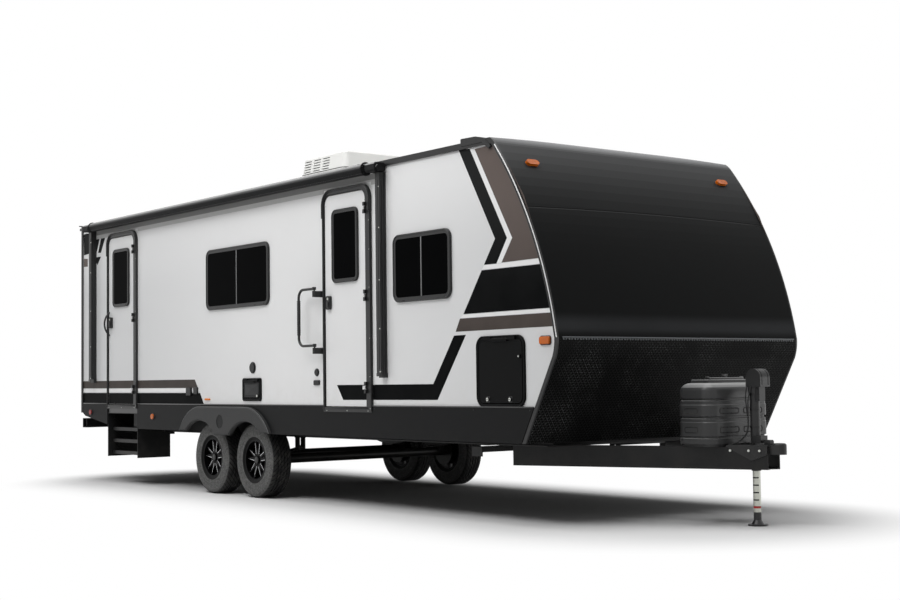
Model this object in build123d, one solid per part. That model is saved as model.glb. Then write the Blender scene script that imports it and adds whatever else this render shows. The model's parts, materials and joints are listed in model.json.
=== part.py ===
# Travel caravan: tandem axle, two entry doors, one hollow cabin on a ladder chassis with an A-frame.
# Frame: X forward to the coupler, Y to the off side, Z up. The entry doors are on the -Y side.
# Origin: centre of the footprint, on the ground. Millimetres. "behind" is a distance aft of the nose line.
from math import asin, cos, degrees, radians, sin, sqrt
import os

from build123d import *

os.makedirs("parts", exist_ok=True)

# ---- driving dimensions -------------------------------------------------------------
noseX = 3456.0  # front-most line of the body
bodyLength = 7666.0
halfWidth = 1219.0
wallThickness = 50.0
shellThickness = 40.0  # front cap, front panel, rear wall
roofThickness = 45.0
floorBottomZ = 726.0
floorThickness = 74.0
roofEdgeZ = 2725.0
roofCentreZ = 2757.0
skyZ = 3250.0  # above everything, for cutting
trimZ = 1290.0  # line between the front cap and the lower front panel
skirtTopZ = 820.0
skirtFootZ = 571.0
skirtThickness = 12.0
trimProud = 14.0
trimWidth = 30.0  # along the cap and the rear corner
trimDeep = 46.0  # along the roof edge

# front end, as (behind, z)
footPoint = (343.0, 571.0)
kneePoint = (25.0, 1150.0)
kneeMid = (5.0, 1221.0)
capMid = (222.0, 2020.0)
shoulderPoint = (620.0, 2672.0)
shoulderMid = (686.0, 2729.0)
roofFrontPoint = (790.0, roofCentreZ)

# entry doors: outer frame, and the window in the leaf
doorWidth = 690.0
doorFootZ = 770.0
doorHeadZ = 2577.0
doorCornerRadius = 120.0
doorFlange = 24.0  # frame overlap on the wall
doorFlangeProud = 18.0
doorJamb = 16.0
latchFlange = 10.0
latchJamb = 6.0
doorGap = 6.0
latchGap = 9.0
leafThickness = 44.0
leafProud = 6.0  # outer face of the leaf, proud of the wall
hingeRail = 30.0  # hinge stile in the frame, on the front side of the leaf
doorWindowWidth = 376.0
doorWindowFootZ = 1811.0
doorWindowHeadZ = 2408.0
doorWindowAft = 18.0
doorWindowRadius = 55.0
frontDoorBehind = 2519.0  # centre of the frame
rearDoorFromRear = 1003.0
# name, centre behind the nose
entryDoors = [("front", frontDoorBehind), ("rear", bodyLength - rearDoorFromRear)]

dripProud = 27.0  # rain bead over the door frame
dripWide = 14.0

# windows: side (-1 door side, 1 off side), front edge behind, rear edge behind, foot z, head z
windowTable = [
    (-1, 3736.0, 4865.0, 1687.0, 2245.0),
    (-1, 1151.0, 1876.0, 1610.0, 2128.0),
    (1, 1151.0, 1876.0, 1610.0, 2128.0),
    (1, 3300.0, 4700.0, 1687.0, 2245.0),
    (1, bodyLength - 1416.0, bodyLength - 766.0, 1687.0, 2128.0),
]
windowRadius = 70.0
windowFrameWidth = 34.0
windowFrameProud = 14.0
windowFrameDeep = 26.0
glassThickness = 6.0
glassRecess = 5.0
mullionWidth = 16.0
mullionProud = 3.0  # in front of the glass
sillProud = 6.0

# hatches: front edge behind, rear edge behind, foot z, head z, corner radius
baggageHatch = (341.0, 872.0, 821.0, 1320.0, 75.0)
serviceHatch = (3881.0, 4205.0, 854.0, 1056.0, 24.0)
hatchFrameWidth = 22.0
hatchGap = 5.5
hatchProud = 10.0
hatchThickness = 38.0
hatchHingeOut = 8.0
hatchKnuckle = 7.0
hatchPin = 3.5
hatchBore = 3.8
wheelHouseGap = 34.0

# chassis
railY = halfWidth - 339.0
railFootZ = 536.0
railFlange = 100.0
railFlangeThickness = 9.0
railWeb = 7.0
railFrontBehind = 460.0
railRearBehind = bodyLength - 66.0
beamHeight = 152.0
beamFlange = 60.0
beamWall = 8.0
beamRear = (989.0, railY - 80.0)  # behind, outer y
beamFront = (-779.0, 62.0)
couplerNoseBehind = -878.0
ballBoreRadius = 30.2
ballBoreDepth = 46.0

# running gear
wheelRadius = 331.5
tyreWidth = 205.0
tyreOuterY = halfWidth - 49.0
rimRadius = 181.0
axleSpacing = 778.0
axleCentreBehind = 4504.0
fenderCentreBehind = 4533.0
axleTubeRadius = 42.0
drumRadius = 128.0
springHalfLength = 312.0
springWidth = 46.0
springThickness = 30.0
hangerFootZ = 418.0
pinZ = 442.0
pinRadius = 9.0

# tongue jack
jackBehind = -625.0
jackTubeRadius = 33.0
jackPostRadius = 26.0
jackBore = 26.6
jackFootRadius = 66.0
jackFootThickness = 12.0
jackTubeFootZ = 372.0
jackHeadZ = 940.0
jackTopZ = 1064.0
jackPostTopZ = 690.0
jackHeadLength = 128.0
jackHeadWidth = 100.0
jackHeadShift = 30.0

# folding steps, under the rear door
stepHalfWidth = 347.0
stepBehindFront = bodyLength - rearDoorFromRear - stepHalfWidth
stepBehindRear = bodyLength - rearDoorFromRear + stepHalfWidth
stepPlate = 6.0
stepSideGap = 8.0
stepLinkThickness = 8.0
stepTreadGap = 6.0
stepPivotY = halfWidth - 69.0
stepPivotZ = 680.0
stepLinkLength = 190.0
stepStowedDrop = 120.0
stepDeployedAngle = 65.0
stepFlange = 34.0
stepFootZ = 279.0
stepPinRadius = 7.0
stepBore = 7.4

# awning: arms on the wall and the roller above them
awningArmWidth = 66.0
awningArmProud = 60.0
awningArmFootZ = 1045.0
awningArmHeadDrop = 38.0  # below the roller's centre
awningArmBehind = [frontDoorBehind - 541.0, bodyLength - 361.0]
awningRollerRadius = 46.0
awningRollerDrop = 55.0  # below the roof edge
awningRollerZ = roofEdgeZ - awningRollerDrop
awningArmHeadZ = awningRollerZ - awningArmHeadDrop
awningRollerOut = 84.0
awningRollerGap = 92.0  # from the arm to the end of the rolled fabric

# stabilizers: corner legs stowed across the chassis
legBehind = [1180.0, bodyLength - 486.0]
legPivotY = 420.0
legLength = 560.0
legDrop = 34.0
legWidth = 60.0
legHeight = 42.0

# grab handle, swung back on the wall behind the front door
handlePivotBehind = frontDoorBehind + 371.0
handleOut = 84.0
handleReach = 240.0
handleFootZ = 1305.0
handleHeadZ = 1770.0
handleRadius = 11.0

# roof
airConBehind = [3870.0, 4640.0]
airConHalfWidth = 346.0
airConSeamZ = 2985.0
airConTopZ = 3140.0
airConLean = 9.0  # degrees, sides of the upper shell

# gas bottle cover
coverBehind = -338.0
coverRadius = 165.0
coverHalfSpread = 150.0
coverShoulderZ = 970.0
coverTopZ = 1033.0
coverSeams = [598.0, 728.0, 852.0]
coverRibs = [642.0, 684.0, 772.0, 814.0]

rearX = noseX - bodyLength
floorTopZ = floorBottomZ + floorThickness


def fx(behind):
    return noseX - behind


def block(x0, x1, y0, y1, z0, z1):
    size = Box(abs(x1 - x0), abs(y1 - y0), abs(z1 - z0))
    return Pos((x0 + x1) / 2, (y0 + y1) / 2, (z0 + z1) / 2) * size


def acrossY(sketch, y0, y1):
    # sketch drawn as (x, z)
    return extrude(Plane.XZ.offset(-y1) * sketch, amount=y1 - y0)


def acrossX(sketch, x0, x1):
    # sketch drawn as (y, z)
    return extrude(Plane.YZ.offset(x0) * sketch, amount=x1 - x0)


def upZ(sketch, z0, z1):
    return extrude(Plane.XY.offset(z0) * sketch, amount=z1 - z0)


def outline(points):
    return make_face(Polyline(*points, close=True))


def roundedPlate(x0, x1, z0, z1, radius):
    shape = RectangleRounded(abs(x1 - x0), abs(z1 - z0), radius)
    return Pos((x0 + x1) / 2, (z0 + z1) / 2) * shape


def rod(radius, start, end):
    axis = Vector(*end) - Vector(*start)
    place = Plane(origin=start, z_dir=axis)
    return extrude(place * Circle(radius), amount=axis.length)


def save(name, *pieces):
    solids = []
    for piece in pieces:
        solids += list(piece.solids())
    shape = solids[0] if len(solids) == 1 else Compound(children=solids)
    export_step(shape, f"parts/{name}.step")


# ---- body shell ---------------------------------------------------------------------
lowSlope = (footPoint[0] - kneePoint[0]) / (kneePoint[1] - footPoint[1])
extendedFootZ = skirtFootZ - 90.0
extendedFoot = (kneePoint[0] + (kneePoint[1] - extendedFootZ) * lowSlope, extendedFootZ)


def sideFace():
    foot = (fx(extendedFoot[0]), extendedFootZ)
    knee = (fx(kneePoint[0]), kneePoint[1])
    nose = (noseX, trimZ)
    shoulder = (fx(shoulderPoint[0]), shoulderPoint[1])
    roofFront = (fx(roofFrontPoint[0]), roofCentreZ)
    edges = [
        Line((rearX, extendedFootZ), foot),
        Line(foot, knee),
        ThreePointArc(knee, (fx(kneeMid[0]), kneeMid[1]), nose),
        ThreePointArc(nose, (fx(capMid[0]), capMid[1]), shoulder),
        ThreePointArc(shoulder, (fx(shoulderMid[0]), shoulderMid[1]), roofFront),
        Line(roofFront, (rearX, roofCentreZ)),
        Line((rearX, roofCentreZ), (rearX, extendedFootZ)),
    ]
    return make_face(edges)


def crown(drop):
    edge = roofEdgeZ - drop
    centre = roofCentreZ - drop
    foot = extendedFootZ - 10.0
    edges = [
        Line((-halfWidth - 30, edge), (-halfWidth - 30, foot)),
        Line((-halfWidth - 30, foot), (halfWidth + 30, foot)),
        Line((halfWidth + 30, foot), (halfWidth + 30, edge)),
        ThreePointArc((halfWidth + 30, edge), (0, centre), (-halfWidth - 30, edge)),
    ]
    return acrossX(make_face(edges), rearX - 50, noseX + 50)


outerSide = sideFace()
innerSide = offset(outerSide, amount=-shellThickness)
outerCrown = crown(0.0)
innerCrown = crown(roofThickness)
innerBody = acrossY(innerSide, -halfWidth - 60, halfWidth + 60) & innerCrown
roofSplitX = fx(roofFrontPoint[0])


def shellBand(y0, y1):
    return (acrossY(outerSide, y0, y1) & outerCrown) - innerBody


shell = shellBand(-halfWidth, halfWidth)
far = 2 * bodyLength
frontCap = shell & block(roofSplitX, noseX + 50, -halfWidth, halfWidth, trimZ, skyZ)
frontPanel = shell & block(fx(1200), noseX + 50, -halfWidth, halfWidth, skirtFootZ, trimZ)
roof = shell & block(rearX, roofSplitX, -halfWidth, halfWidth, trimZ, skyZ)
roof = roof - block(rearX - 1, rearX + shellThickness, -far, far, 0, roofEdgeZ - roofThickness)
rearWall = block(
    rearX, rearX + shellThickness, -halfWidth, halfWidth, floorBottomZ, roofEdgeZ - roofThickness
)
floor = block(
    rearX + shellThickness, fx(430), -halfWidth + wallThickness, halfWidth - wallThickness,
    floorBottomZ, floorTopZ,
)
floor = floor & innerBody
save("front_cap", frontCap)
save("front_panel", frontPanel)
save("roof", roof)
save("rear_wall", rearWall)
save("floor", floor)


def doorSpan(centre):
    return fx(centre + doorWidth / 2), fx(centre - doorWidth / 2)


def archedPlate(x0, x1, z0, z1, radius):
    plate = Pos((x0 + x1) / 2, (z0 + z1) / 2) * Rectangle(x1 - x0, z1 - z0)
    heads = [v for v in plate.vertices() if v.Y > (z0 + z1) / 2]
    return fillet(heads, radius)


def doorOutline(centre, latch, hinge, head, foot, radius):
    # the frame's outline, drawn in from its latch side, hinge side, head and foot
    x0, x1 = doorSpan(centre)
    return archedPlate(x0 + latch, x1 - hinge, doorFootZ + foot, doorHeadZ - head, radius)


def doorWallHole(centre, grow=0.0):
    return doorOutline(
        centre, latchFlange + grow, doorFlange + grow, doorFlange + grow, doorFlange + grow,
        doorCornerRadius - doorFlange - grow,
    )


def sideWall(side):
    yOuter = side * halfWidth
    yInner = side * (halfWidth - wallThickness)
    y0, y1 = min(yOuter, yInner), max(yOuter, yInner)
    wall = innerBody & block(rearX, noseX, y0, y1, floorBottomZ, skyZ)
    cuts = []
    for where, front, rear, foot, head in windowTable:
        if where == side:
            inset = windowFrameWidth - 12.0
            cuts.append(roundedPlate(
                fx(rear) + inset, fx(front) - inset, foot + inset, head - inset,
                windowRadius - inset,
            ))
    cuts.append(hatchPlate(baggageHatch, hatchFrameWidth - 8.0))
    if side < 0:
        cuts.append(hatchPlate(serviceHatch, hatchFrameWidth - 8.0))
        for name, centre in entryDoors:
            cuts.append(doorWallHole(centre))
    for cut in cuts:
        wall = wall - acrossY(cut, y0 - 5, y1 + 5)
    return wall


def hatchPlate(hatch, inset):
    front, rear, foot, head, radius = hatch
    corner = max(radius - inset, 4.0)
    return roundedPlate(fx(rear) + inset, fx(front) - inset, foot + inset, head - inset, corner)


save("wall_door_side", sideWall(-1))
save("wall_off_side", sideWall(1))


# ---- edge trim: one moulding a side along the cap, roof edge and rear corner ----------
def edgeTrim(side):
    y0, y1 = sorted((side * halfWidth, side * (halfWidth + trimProud)))
    inner = acrossY(offset(outerSide, amount=-trimWidth), y0 - 1, y1 + 1)
    band = (acrossY(outerSide, y0, y1) & outerCrown) - (inner & crown(trimDeep))
    above = block(rearX - 10, noseX + 10, y0, y1, skirtFootZ, skyZ)
    tail = block(rearX - 10, rearX + 2 * shellThickness, y0, y1, 0, tailFootZ)
    trim = (band & above) - tail
    spout = block(rearX - 40, rearX, y0, y1, roofEdgeZ - roofThickness, roofEdgeZ - 20)
    return trim + spout + roofCorner(side)


def roofCorner(side):
    # thick moulding where the roof edge turns down along the cap
    y0, y1 = sorted((side * (halfWidth - 46), side * (halfWidth + trimProud + 5)))
    points = [(fx(behind), z) for behind, z in cornerCap]
    piece = acrossY(outline(points), y0, y1)
    long = piece.edges().filter_by(Axis.Y).group_by(Axis.Z)[-1]
    piece = chamfer(long, 6.0)
    return piece - (acrossY(outerSide, -halfWidth, halfWidth) & outerCrown)


# (behind, z) of the roof corner moulding
cornerCap = [
    (1008.0, roofEdgeZ - 24.0),
    (1008.0, roofEdgeZ + 31.0),
    (838.0, roofEdgeZ + 27.0),
    (748.0, roofEdgeZ + 8.0),
    (666.0, roofEdgeZ - 62.0),
    (690.0, roofEdgeZ - 78.0),
    (764.0, roofEdgeZ - 24.0),
]
# skirt tail: (behind, z) of the raised rear corner
tailStart = (bodyLength - 656.0, 606.0)
tailCorner = (bodyLength - 100.0, 690.0)
tailFootZ = 722.0
stepCutRadius = 50.0
save("edge_trim", edgeTrim(-1), edgeTrim(1))

# ---- skirts ---------------------------------------------------------------------------
fenderTopZ = 802.0
fenderFootZ = 577.0
fenderTongueZ = 547.0
fenderHalfTop = 448.0
fenderHalfFoot = 826.0
archSpacing = 848.0
archHalfWidth = 278.0
archFootZ = 560.0
archTopZ = 672.0
fenderProud = 38.0


def archFace(centreX, grow):
    half = archHalfWidth + grow
    foot = (centreX - half, archFootZ - 60)
    edges = [
        Line(foot, (centreX + half, archFootZ - 60)),
        Line((centreX + half, archFootZ - 60), (centreX + half, archFootZ)),
        ThreePointArc((centreX + half, archFootZ), (centreX, archTopZ + grow), (centreX - half, archFootZ)),
        Line((centreX - half, archFootZ), foot),
    ]
    return make_face(edges)


def archCentres():
    middle = fx(fenderCentreBehind)
    return [middle - archSpacing / 2, middle + archSpacing / 2]


def skirt(side):
    y0, y1 = sorted((side * halfWidth, side * (halfWidth + skirtThickness)))
    plate = acrossY(innerSide, y0, y1) & block(rearX, noseX, y0, y1, skirtFootZ, skirtTopZ)
    rise = outline([
        (rearX - 10, 0),
        (fx(tailStart[0]), 0),
        (fx(tailStart[0]), tailStart[1]),
        (fx(tailCorner[0]), tailCorner[1]),
        (rearX + shellThickness, tailFootZ),
        (rearX - 10, tailFootZ),
    ])
    plate = plate - acrossY(rise, y0 - 5, y1 + 5)
    for centreX in archCentres():
        plate = plate - acrossY(archFace(centreX, 12.0), y0 - 5, y1 + 5)
    if side < 0:
        for name, centre in entryDoors:
            notch = doorSpan(centre)
            plate = plate - block(notch[0], notch[1], y0 - 5, y1 + 5, doorFootZ, skirtTopZ + 5)
        x0, x1 = fx(stepBehindRear) - 4, fx(stepBehindFront) + 4
        cut = Pos((x0 + x1) / 2, 600) * RectangleRounded(x1 - x0, 2 * (skirtTopZ - 24 - 600), stepCutRadius)
        plate = plate - acrossY(cut, y0 - 5, y1 + 5)
        plate = plate - block(x0, x1, y0 - 5, y1 + 5, skirtFootZ - 5, skirtFootZ + 60)
    return plate


save("skirts", skirt(-1), skirt(1))


def fender(side):
    y0, y1 = sorted((side * (halfWidth + skirtThickness), side * (halfWidth + skirtThickness + fenderProud)))
    middle = fx(fenderCentreBehind)
    topZ, footZ = fenderTopZ, fenderFootZ
    edges = []
    for s in (-1, 1):
        top = (middle + s * fenderHalfTop, topZ)
        bend = (middle + s * (fenderHalfTop + 0.55 * (fenderHalfFoot - fenderHalfTop)), topZ - 62)
        foot = (middle + s * fenderHalfFoot, footZ)
        edges.append(ThreePointArc(top, bend, foot))
    edges.append(Line((middle - fenderHalfTop, topZ), (middle + fenderHalfTop, topZ)))
    edges.append(Line((middle - fenderHalfFoot, footZ), (middle - fenderHalfFoot, fenderTongueZ)))
    edges.append(Line((middle + fenderHalfFoot, footZ), (middle + fenderHalfFoot, fenderTongueZ)))
    edges.append(Line((middle - fenderHalfFoot, fenderTongueZ), (middle + fenderHalfFoot, fenderTongueZ)))
    plate = acrossY(make_face(edges), y0, y1)
    ends = block(middle - 900, middle + 900, y0 - 5, y1 + 5, 0, footZ)
    keep = block(middle - 200, middle + 200, y0 - 6, y1 + 6, 0, footZ + 1)
    plate = plate - (ends - keep)
    for centreX in archCentres():
        plate = plate - acrossY(archFace(centreX, 0.0), y0 - 5, y1 + 5)
    face = side * (halfWidth + skirtThickness + fenderProud)
    outer = plate.faces().sort_by(Axis.Y)[-1 if side > 0 else 0]
    plate = chamfer(outer.outer_wire().edges(), 12.0)
    recess = acrossY(Pos(middle - 20, 668) * Circle(60), *sorted((face, face - side * 8)))
    return plate - recess


save("fenders", fender(-1), fender(1))


# ---- windows ----------------------------------------------------------------------------
def windowUnit(row):
    side, front, rear, foot, head = row
    out = side * (halfWidth + windowFrameProud)
    wallFace = side * halfWidth
    deep = side * (halfWidth - windowFrameDeep)
    x0, x1 = fx(rear), fx(front)
    inner = windowFrameWidth
    flange = acrossY(roundedPlate(x0, x1, foot, head, windowRadius), *sorted((out, wallFace)))
    clear = windowFrameWidth - 11.0
    neck = acrossY(
        roundedPlate(x0 + clear, x1 - clear, foot + clear, head - clear, windowRadius - clear),
        *sorted((wallFace, deep)),
    )
    hole = roundedPlate(x0 + inner, x1 - inner, foot + inner, head - inner, windowRadius - inner)
    through = acrossY(hole, *sorted((out + side * 5, deep - side * 5)))
    mullionX = (x0 + x1) / 2
    glassOut = out - side * glassRecess
    glassIn = glassOut - side * glassThickness
    frame = (flange + neck) - through
    mullion = block(
        mullionX - mullionWidth / 2, mullionX + mullionWidth / 2,
        *sorted((glassOut + side * mullionProud, glassOut)), foot + inner, head - inner,
    )
    reach = windowRadius + 6.0
    sill = block(x0 + reach, x1 - reach, *sorted((out, out + side * sillProud)), foot + 5, foot + 19)
    glass = acrossY(hole, *sorted((glassOut, glassIn)))
    return frame + mullion + sill, glass


frames, panes = [], []
for row in windowTable:
    frame, pane = windowUnit(row)
    frames.append(frame)
    panes.append(pane)
save("window_frames", *frames)
save("window_glass", *panes)


# ---- entry doors ------------------------------------------------------------------------
def doorFrame(centre):
    out = -halfWidth - doorFlangeProud
    flange = acrossY(doorOutline(centre, 0, 0, 0, 0, doorCornerRadius), out, -halfWidth)
    neck = acrossY(doorWallHole(centre, 0.5), -halfWidth, -halfWidth + wallThickness)
    frame = (flange + neck) - acrossY(leafHole(centre), out - 5, -halfWidth + wallThickness + 5)
    return frame + dripRail(centre)


def dripRail(centre):
    # rounded rain bead over the head and both shoulders of the frame
    bead = doorOutline(centre, -2, -2, -2, 0, doorCornerRadius + 2)
    bead = bead - doorOutline(centre, dripWide, dripWide, dripWide, 0, doorCornerRadius - dripWide)
    rail = acrossY(bead, -halfWidth - dripProud, -halfWidth)
    x0, x1 = doorSpan(centre)
    return rail & block(x0 - 20, x1 + 20, -halfWidth - 60, 0, doorHeadZ - 225, skyZ)


def leafHole(centre):
    return doorOutline(
        centre, latchFlange + latchJamb, doorFlange + doorJamb + hingeRail, doorFlange + doorJamb,
        doorFlange + doorJamb, doorCornerRadius - doorFlange - doorJamb,
    )


def leafPlate(centre):
    return doorOutline(
        centre, latchFlange + latchJamb + latchGap, doorFlange + doorJamb + hingeRail + doorGap,
        doorFlange + doorJamb + doorGap, doorFlange + doorJamb + doorGap,
        doorCornerRadius - doorFlange - doorJamb - doorGap,
    )


def doorWindowPlate(centre, inset):
    middle = fx(centre + doorWindowAft)
    half = doorWindowWidth / 2 - inset
    return roundedPlate(
        middle - half, middle + half, doorWindowFootZ + inset, doorWindowHeadZ - inset,
        doorWindowRadius - inset,
    )


leafOutY = -halfWidth - leafProud
leafInY = leafOutY + leafThickness
latchRise = 886.0
pullHalf = 120.0
pullOut = 58.0
hingeOut = 24.0
hingeKnuckle = 8.0
hingePin = 4.0
hingeBore = 4.3
# foot and head of each knuckle pair on an entry door
doorHingeFeet = [doorFootZ + 150.0, (doorFootZ + doorHeadZ) / 2 - 30.0, doorHeadZ - 240.0]
doorHingeLength = 90.0


def hingeAxis(centre):
    x0, x1 = doorSpan(centre)
    return x1 - doorFlange - doorJamb - hingeRail - doorGap / 2, leafOutY - hingeOut


def frameKnuckles(centre):
    # outer thirds of each hinge, with the pin right through
    axisX, axisY = hingeAxis(centre)
    third = doorHingeLength / 3
    pieces = []
    for z in doorHingeFeet:
        pin = rod(hingePin, (axisX, axisY, z), (axisX, axisY, z + doorHingeLength))
        for foot in (z, z + 2 * third + 0.5):
            head = foot + third - 0.5
            pin = pin + rod(hingeKnuckle, (axisX, axisY, foot), (axisX, axisY, head))
            pin = pin + block(axisX, axisX + 20, axisY - hingeKnuckle, axisY - 1, foot, head)
            pin = pin + block(axisX + 5, axisX + 20, axisY - 2, -halfWidth - doorFlangeProud, foot, head)
        pieces.append(pin)
    return pieces


def doorLeaf(centre):
    leaf = acrossY(leafPlate(centre), leafOutY, leafInY)
    leaf = leaf - acrossY(doorWindowPlate(centre, 20.0), leafOutY - 5, leafInY + 5)
    axisX, axisY = hingeAxis(centre)
    third = doorHingeLength / 3
    for z in doorHingeFeet:
        foot, head = z + third + 0.5, z + 2 * third - 0.5
        knuckle = rod(hingeKnuckle, (axisX, axisY, foot), (axisX, axisY, head))
        knuckle = knuckle + block(axisX - 20, axisX - 5, axisY - hingeKnuckle, leafOutY, foot, head)
        knuckle = knuckle + block(axisX - 20, axisX, axisY - hingeKnuckle, axisY, foot, head)
        leaf = leaf + (knuckle - rod(hingeBore, (axisX, axisY, foot - 1), (axisX, axisY, head + 1)))
    return leaf


def doorWindow(centre):
    out = leafOutY - windowFrameProud
    ring = acrossY(doorWindowPlate(centre, 0.0), out, leafOutY)
    neck = acrossY(doorWindowPlate(centre, 20.0), leafOutY, leafOutY + windowFrameDeep)
    hole = doorWindowPlate(centre, 30.0)
    frame = (ring + neck) - acrossY(hole, out - 5, leafInY + 5)
    glass = acrossY(hole, out + glassRecess, out + glassRecess + glassThickness)
    middle = fx(centre + doorWindowAft)
    half = doorWindowWidth / 2 - doorWindowRadius - 4.0
    low = doorWindowFootZ + 5
    sill = block(middle - half, middle + half, out - sillProud, out, low, low + 13)
    return frame + sill, glass


def latchBox(centre):
    x0, x1 = doorSpan(centre)
    edge = x0 + latchFlange + latchJamb + latchGap
    z = doorFootZ + latchRise
    plate = roundedPlate(edge + 34, edge + 94, z - 56, z + 56, 16)
    return acrossY(plate, leafOutY - 22, leafOutY)


def pullHandle(centre):
    # D handle on the latch stile
    x0, x1 = doorSpan(centre)
    x = x0 + latchFlange + latchJamb + latchGap + 14
    z = doorFootZ + latchRise - 11.0
    low, high = (x, leafOutY, z - pullHalf), (x, leafOutY, z + pullHalf)
    path = ThreePointArc(low, (x, leafOutY - pullOut, z), high)
    bar = sweep(Plane(origin=low, z_dir=path % 0) * Circle(9), path=path)
    return bar & block(x - 20, x + 20, leafOutY - 2 * pullOut, leafOutY, z - 2 * pullHalf, z + 2 * pullHalf)


doorFrames = []
for name, centre in entryDoors:
    frame = doorFrame(centre)
    for knuckle in frameKnuckles(centre):
        frame = frame + knuckle
    doorFrames.append(frame)
    save(f"{name}_door", doorLeaf(centre))
    frame, glass = doorWindow(centre)
    latch = latchBox(centre)
    if name == "rear":
        latch = latch + pullHandle(centre)
    save(f"{name}_door_fittings", frame + glass, latch)


# ---- hatches ----------------------------------------------------------------------------
def hatchHinge(hatch, side):
    # one hinge along the head: the frame's two end knuckles hold the pin, the leaf's turns on it
    front, rear, foot, head, radius = hatch
    z = head - hatchFrameWidth - hatchGap / 2
    y = side * (halfWidth + hatchProud + hatchHingeOut)
    face = side * (halfWidth + hatchProud)
    inset = radius + 14.0
    x0, x1 = fx(rear) + inset, fx(front) - inset
    quarter = (x1 - x0) / 4
    holder = rod(hatchPin, (x0, y, z), (x1, y, z))
    out = y + side * hatchKnuckle
    for a, b in ((x0, x0 + quarter - 0.5), (x1 - quarter + 0.5, x1)):
        holder = holder + rod(hatchKnuckle, (a, y, z), (b, y, z))
        holder = holder + block(a, b, *sorted((out, face)), z + 4, z + 16)
        holder = holder + block(a, b, *sorted((out, y)), z, z + 16)
    a, b = x0 + quarter + 0.5, x1 - quarter - 0.5
    knuckle = rod(hatchKnuckle, (a, y, z), (b, y, z))
    knuckle = knuckle + block(a, b, *sorted((out, face)), z - 16, z - 4)
    knuckle = knuckle + block(a, b, *sorted((out, y)), z - 16, z)
    return holder, knuckle - rod(hatchBore, (a - 1, y, z), (b + 1, y, z))


def hatchFrame(hatch, side):
    out = side * (halfWidth + hatchProud)
    face = side * halfWidth
    inner = side * (halfWidth - wallThickness)
    flange = acrossY(hatchPlate(hatch, 0.0), *sorted((out, face)))
    neck = acrossY(hatchPlate(hatch, hatchFrameWidth - 7.5), *sorted((face, inner)))
    hole = acrossY(hatchPlate(hatch, hatchFrameWidth), *sorted((out + side * 5, inner - side * 5)))
    return (flange + neck) - hole + hatchHinge(hatch, side)[0]


def hatchLeaf(hatch, side, latches):
    out = side * (halfWidth + hatchProud)
    inner = out - side * hatchThickness
    leaf = acrossY(hatchPlate(hatch, hatchFrameWidth + hatchGap), *sorted((out, inner)))
    front, rear, foot, head, radius = hatch
    for behind, z in latches:
        leaf = leaf + rod(15.0, (fx(behind), out, z), (fx(behind), out + side * 9, z))
    return leaf + hatchHinge(hatch, side)[1]


baggageLatches = [(495.0, 874.0), (740.0, 874.0), (394.0, 1171.0)]
serviceLatches = [(3935.0, 900.0)]
save("baggage_door_near", hatchLeaf(baggageHatch, -1, baggageLatches))
save("baggage_door_far", hatchLeaf(baggageHatch, 1, baggageLatches))
save("service_hatch", hatchLeaf(serviceHatch, -1, serviceLatches))
hatchFrames = [hatchFrame(baggageHatch, -1), hatchFrame(baggageHatch, 1), hatchFrame(serviceHatch, -1)]
save("hatch_frames", *hatchFrames)


# ---- grab handle --------------------------------------------------------------------------
def handleBrackets():
    pieces = []
    pivotX = fx(handlePivotBehind)
    for z in (handleFootZ, handleHeadZ):
        lug = block(pivotX - 17, pivotX + 17, -halfWidth - handleOut + 18, -halfWidth, z - 62, z - 12)
        cheek = rod(17, (pivotX, -halfWidth - handleOut, z - 62), (pivotX, -halfWidth - handleOut, z - 12))
        web = block(pivotX - 17, pivotX + 17, -halfWidth - handleOut, -halfWidth, z - 62, z - 12)
        pin = rod(7, (pivotX, -halfWidth - handleOut, z - 12), (pivotX, -halfWidth - handleOut, z + 6))
        pieces.append(lug + cheek + web + pin)
    return pieces


def grabHandle():
    pivot = (fx(handlePivotBehind), -halfWidth - handleOut)
    barX = pivot[0] - handleReach
    low = (pivot[0], pivot[1], handleFootZ + 6)
    high = (pivot[0], pivot[1], handleHeadZ + 6)
    corner = 70.0
    path = FilletPolyline(low, (barX, pivot[1], low[2]), (barX, pivot[1], high[2]), high, radius=corner)
    bar = sweep(Plane(origin=low, z_dir=path % 0) * Circle(handleRadius), path=path)
    for z in (low[2], high[2]):
        eye = rod(16, (pivot[0], pivot[1], z - 11.5), (pivot[0], pivot[1], z + 14))
        bar = bar + eye
    for z in (low[2], high[2]):
        bar = bar - rod(7.4, (pivot[0], pivot[1], z - 20), (pivot[0], pivot[1], z + 3))
    return bar


save("door_frames", *doorFrames, *handleBrackets())
save("grab_handle", grabHandle())


# ---- chassis ------------------------------------------------------------------------------
def railSection(y, flange, z0, z1):
    web = Pos(y, (z0 + z1) / 2) * Rectangle(railWeb, z1 - z0)
    top = Pos(y, z1 - railFlangeThickness / 2) * Rectangle(flange, railFlangeThickness)
    foot = Pos(y, z0 + railFlangeThickness / 2) * Rectangle(flange, railFlangeThickness)
    return web + top + foot


wheelBehind = [axleCentreBehind - axleSpacing / 2, axleCentreBehind + axleSpacing / 2]
hangerBehind = [wheelBehind[0] - springHalfLength, axleCentreBehind, wheelBehind[1] + springHalfLength]


def hanger(behind, y):
    x = fx(behind)
    wide = 34.0
    cheekIn = springWidth / 2 + 1.0
    piece = None
    for s in (-1, 1):
        y0, y1 = sorted((y + s * cheekIn, y + s * (cheekIn + 8)))
        cheek = block(x - wide, x + wide, y0, y1, hangerFootZ, railFootZ)
        piece = cheek if piece is None else piece + cheek
    reach = cheekIn + 8
    piece = piece + block(x - wide - 10, x + wide + 10, y - reach, y + reach, railFootZ - 8, railFootZ)
    return piece + rod(pinRadius, (x, y - cheekIn - 8, pinZ), (x, y + cheekIn + 8, pinZ))


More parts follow.
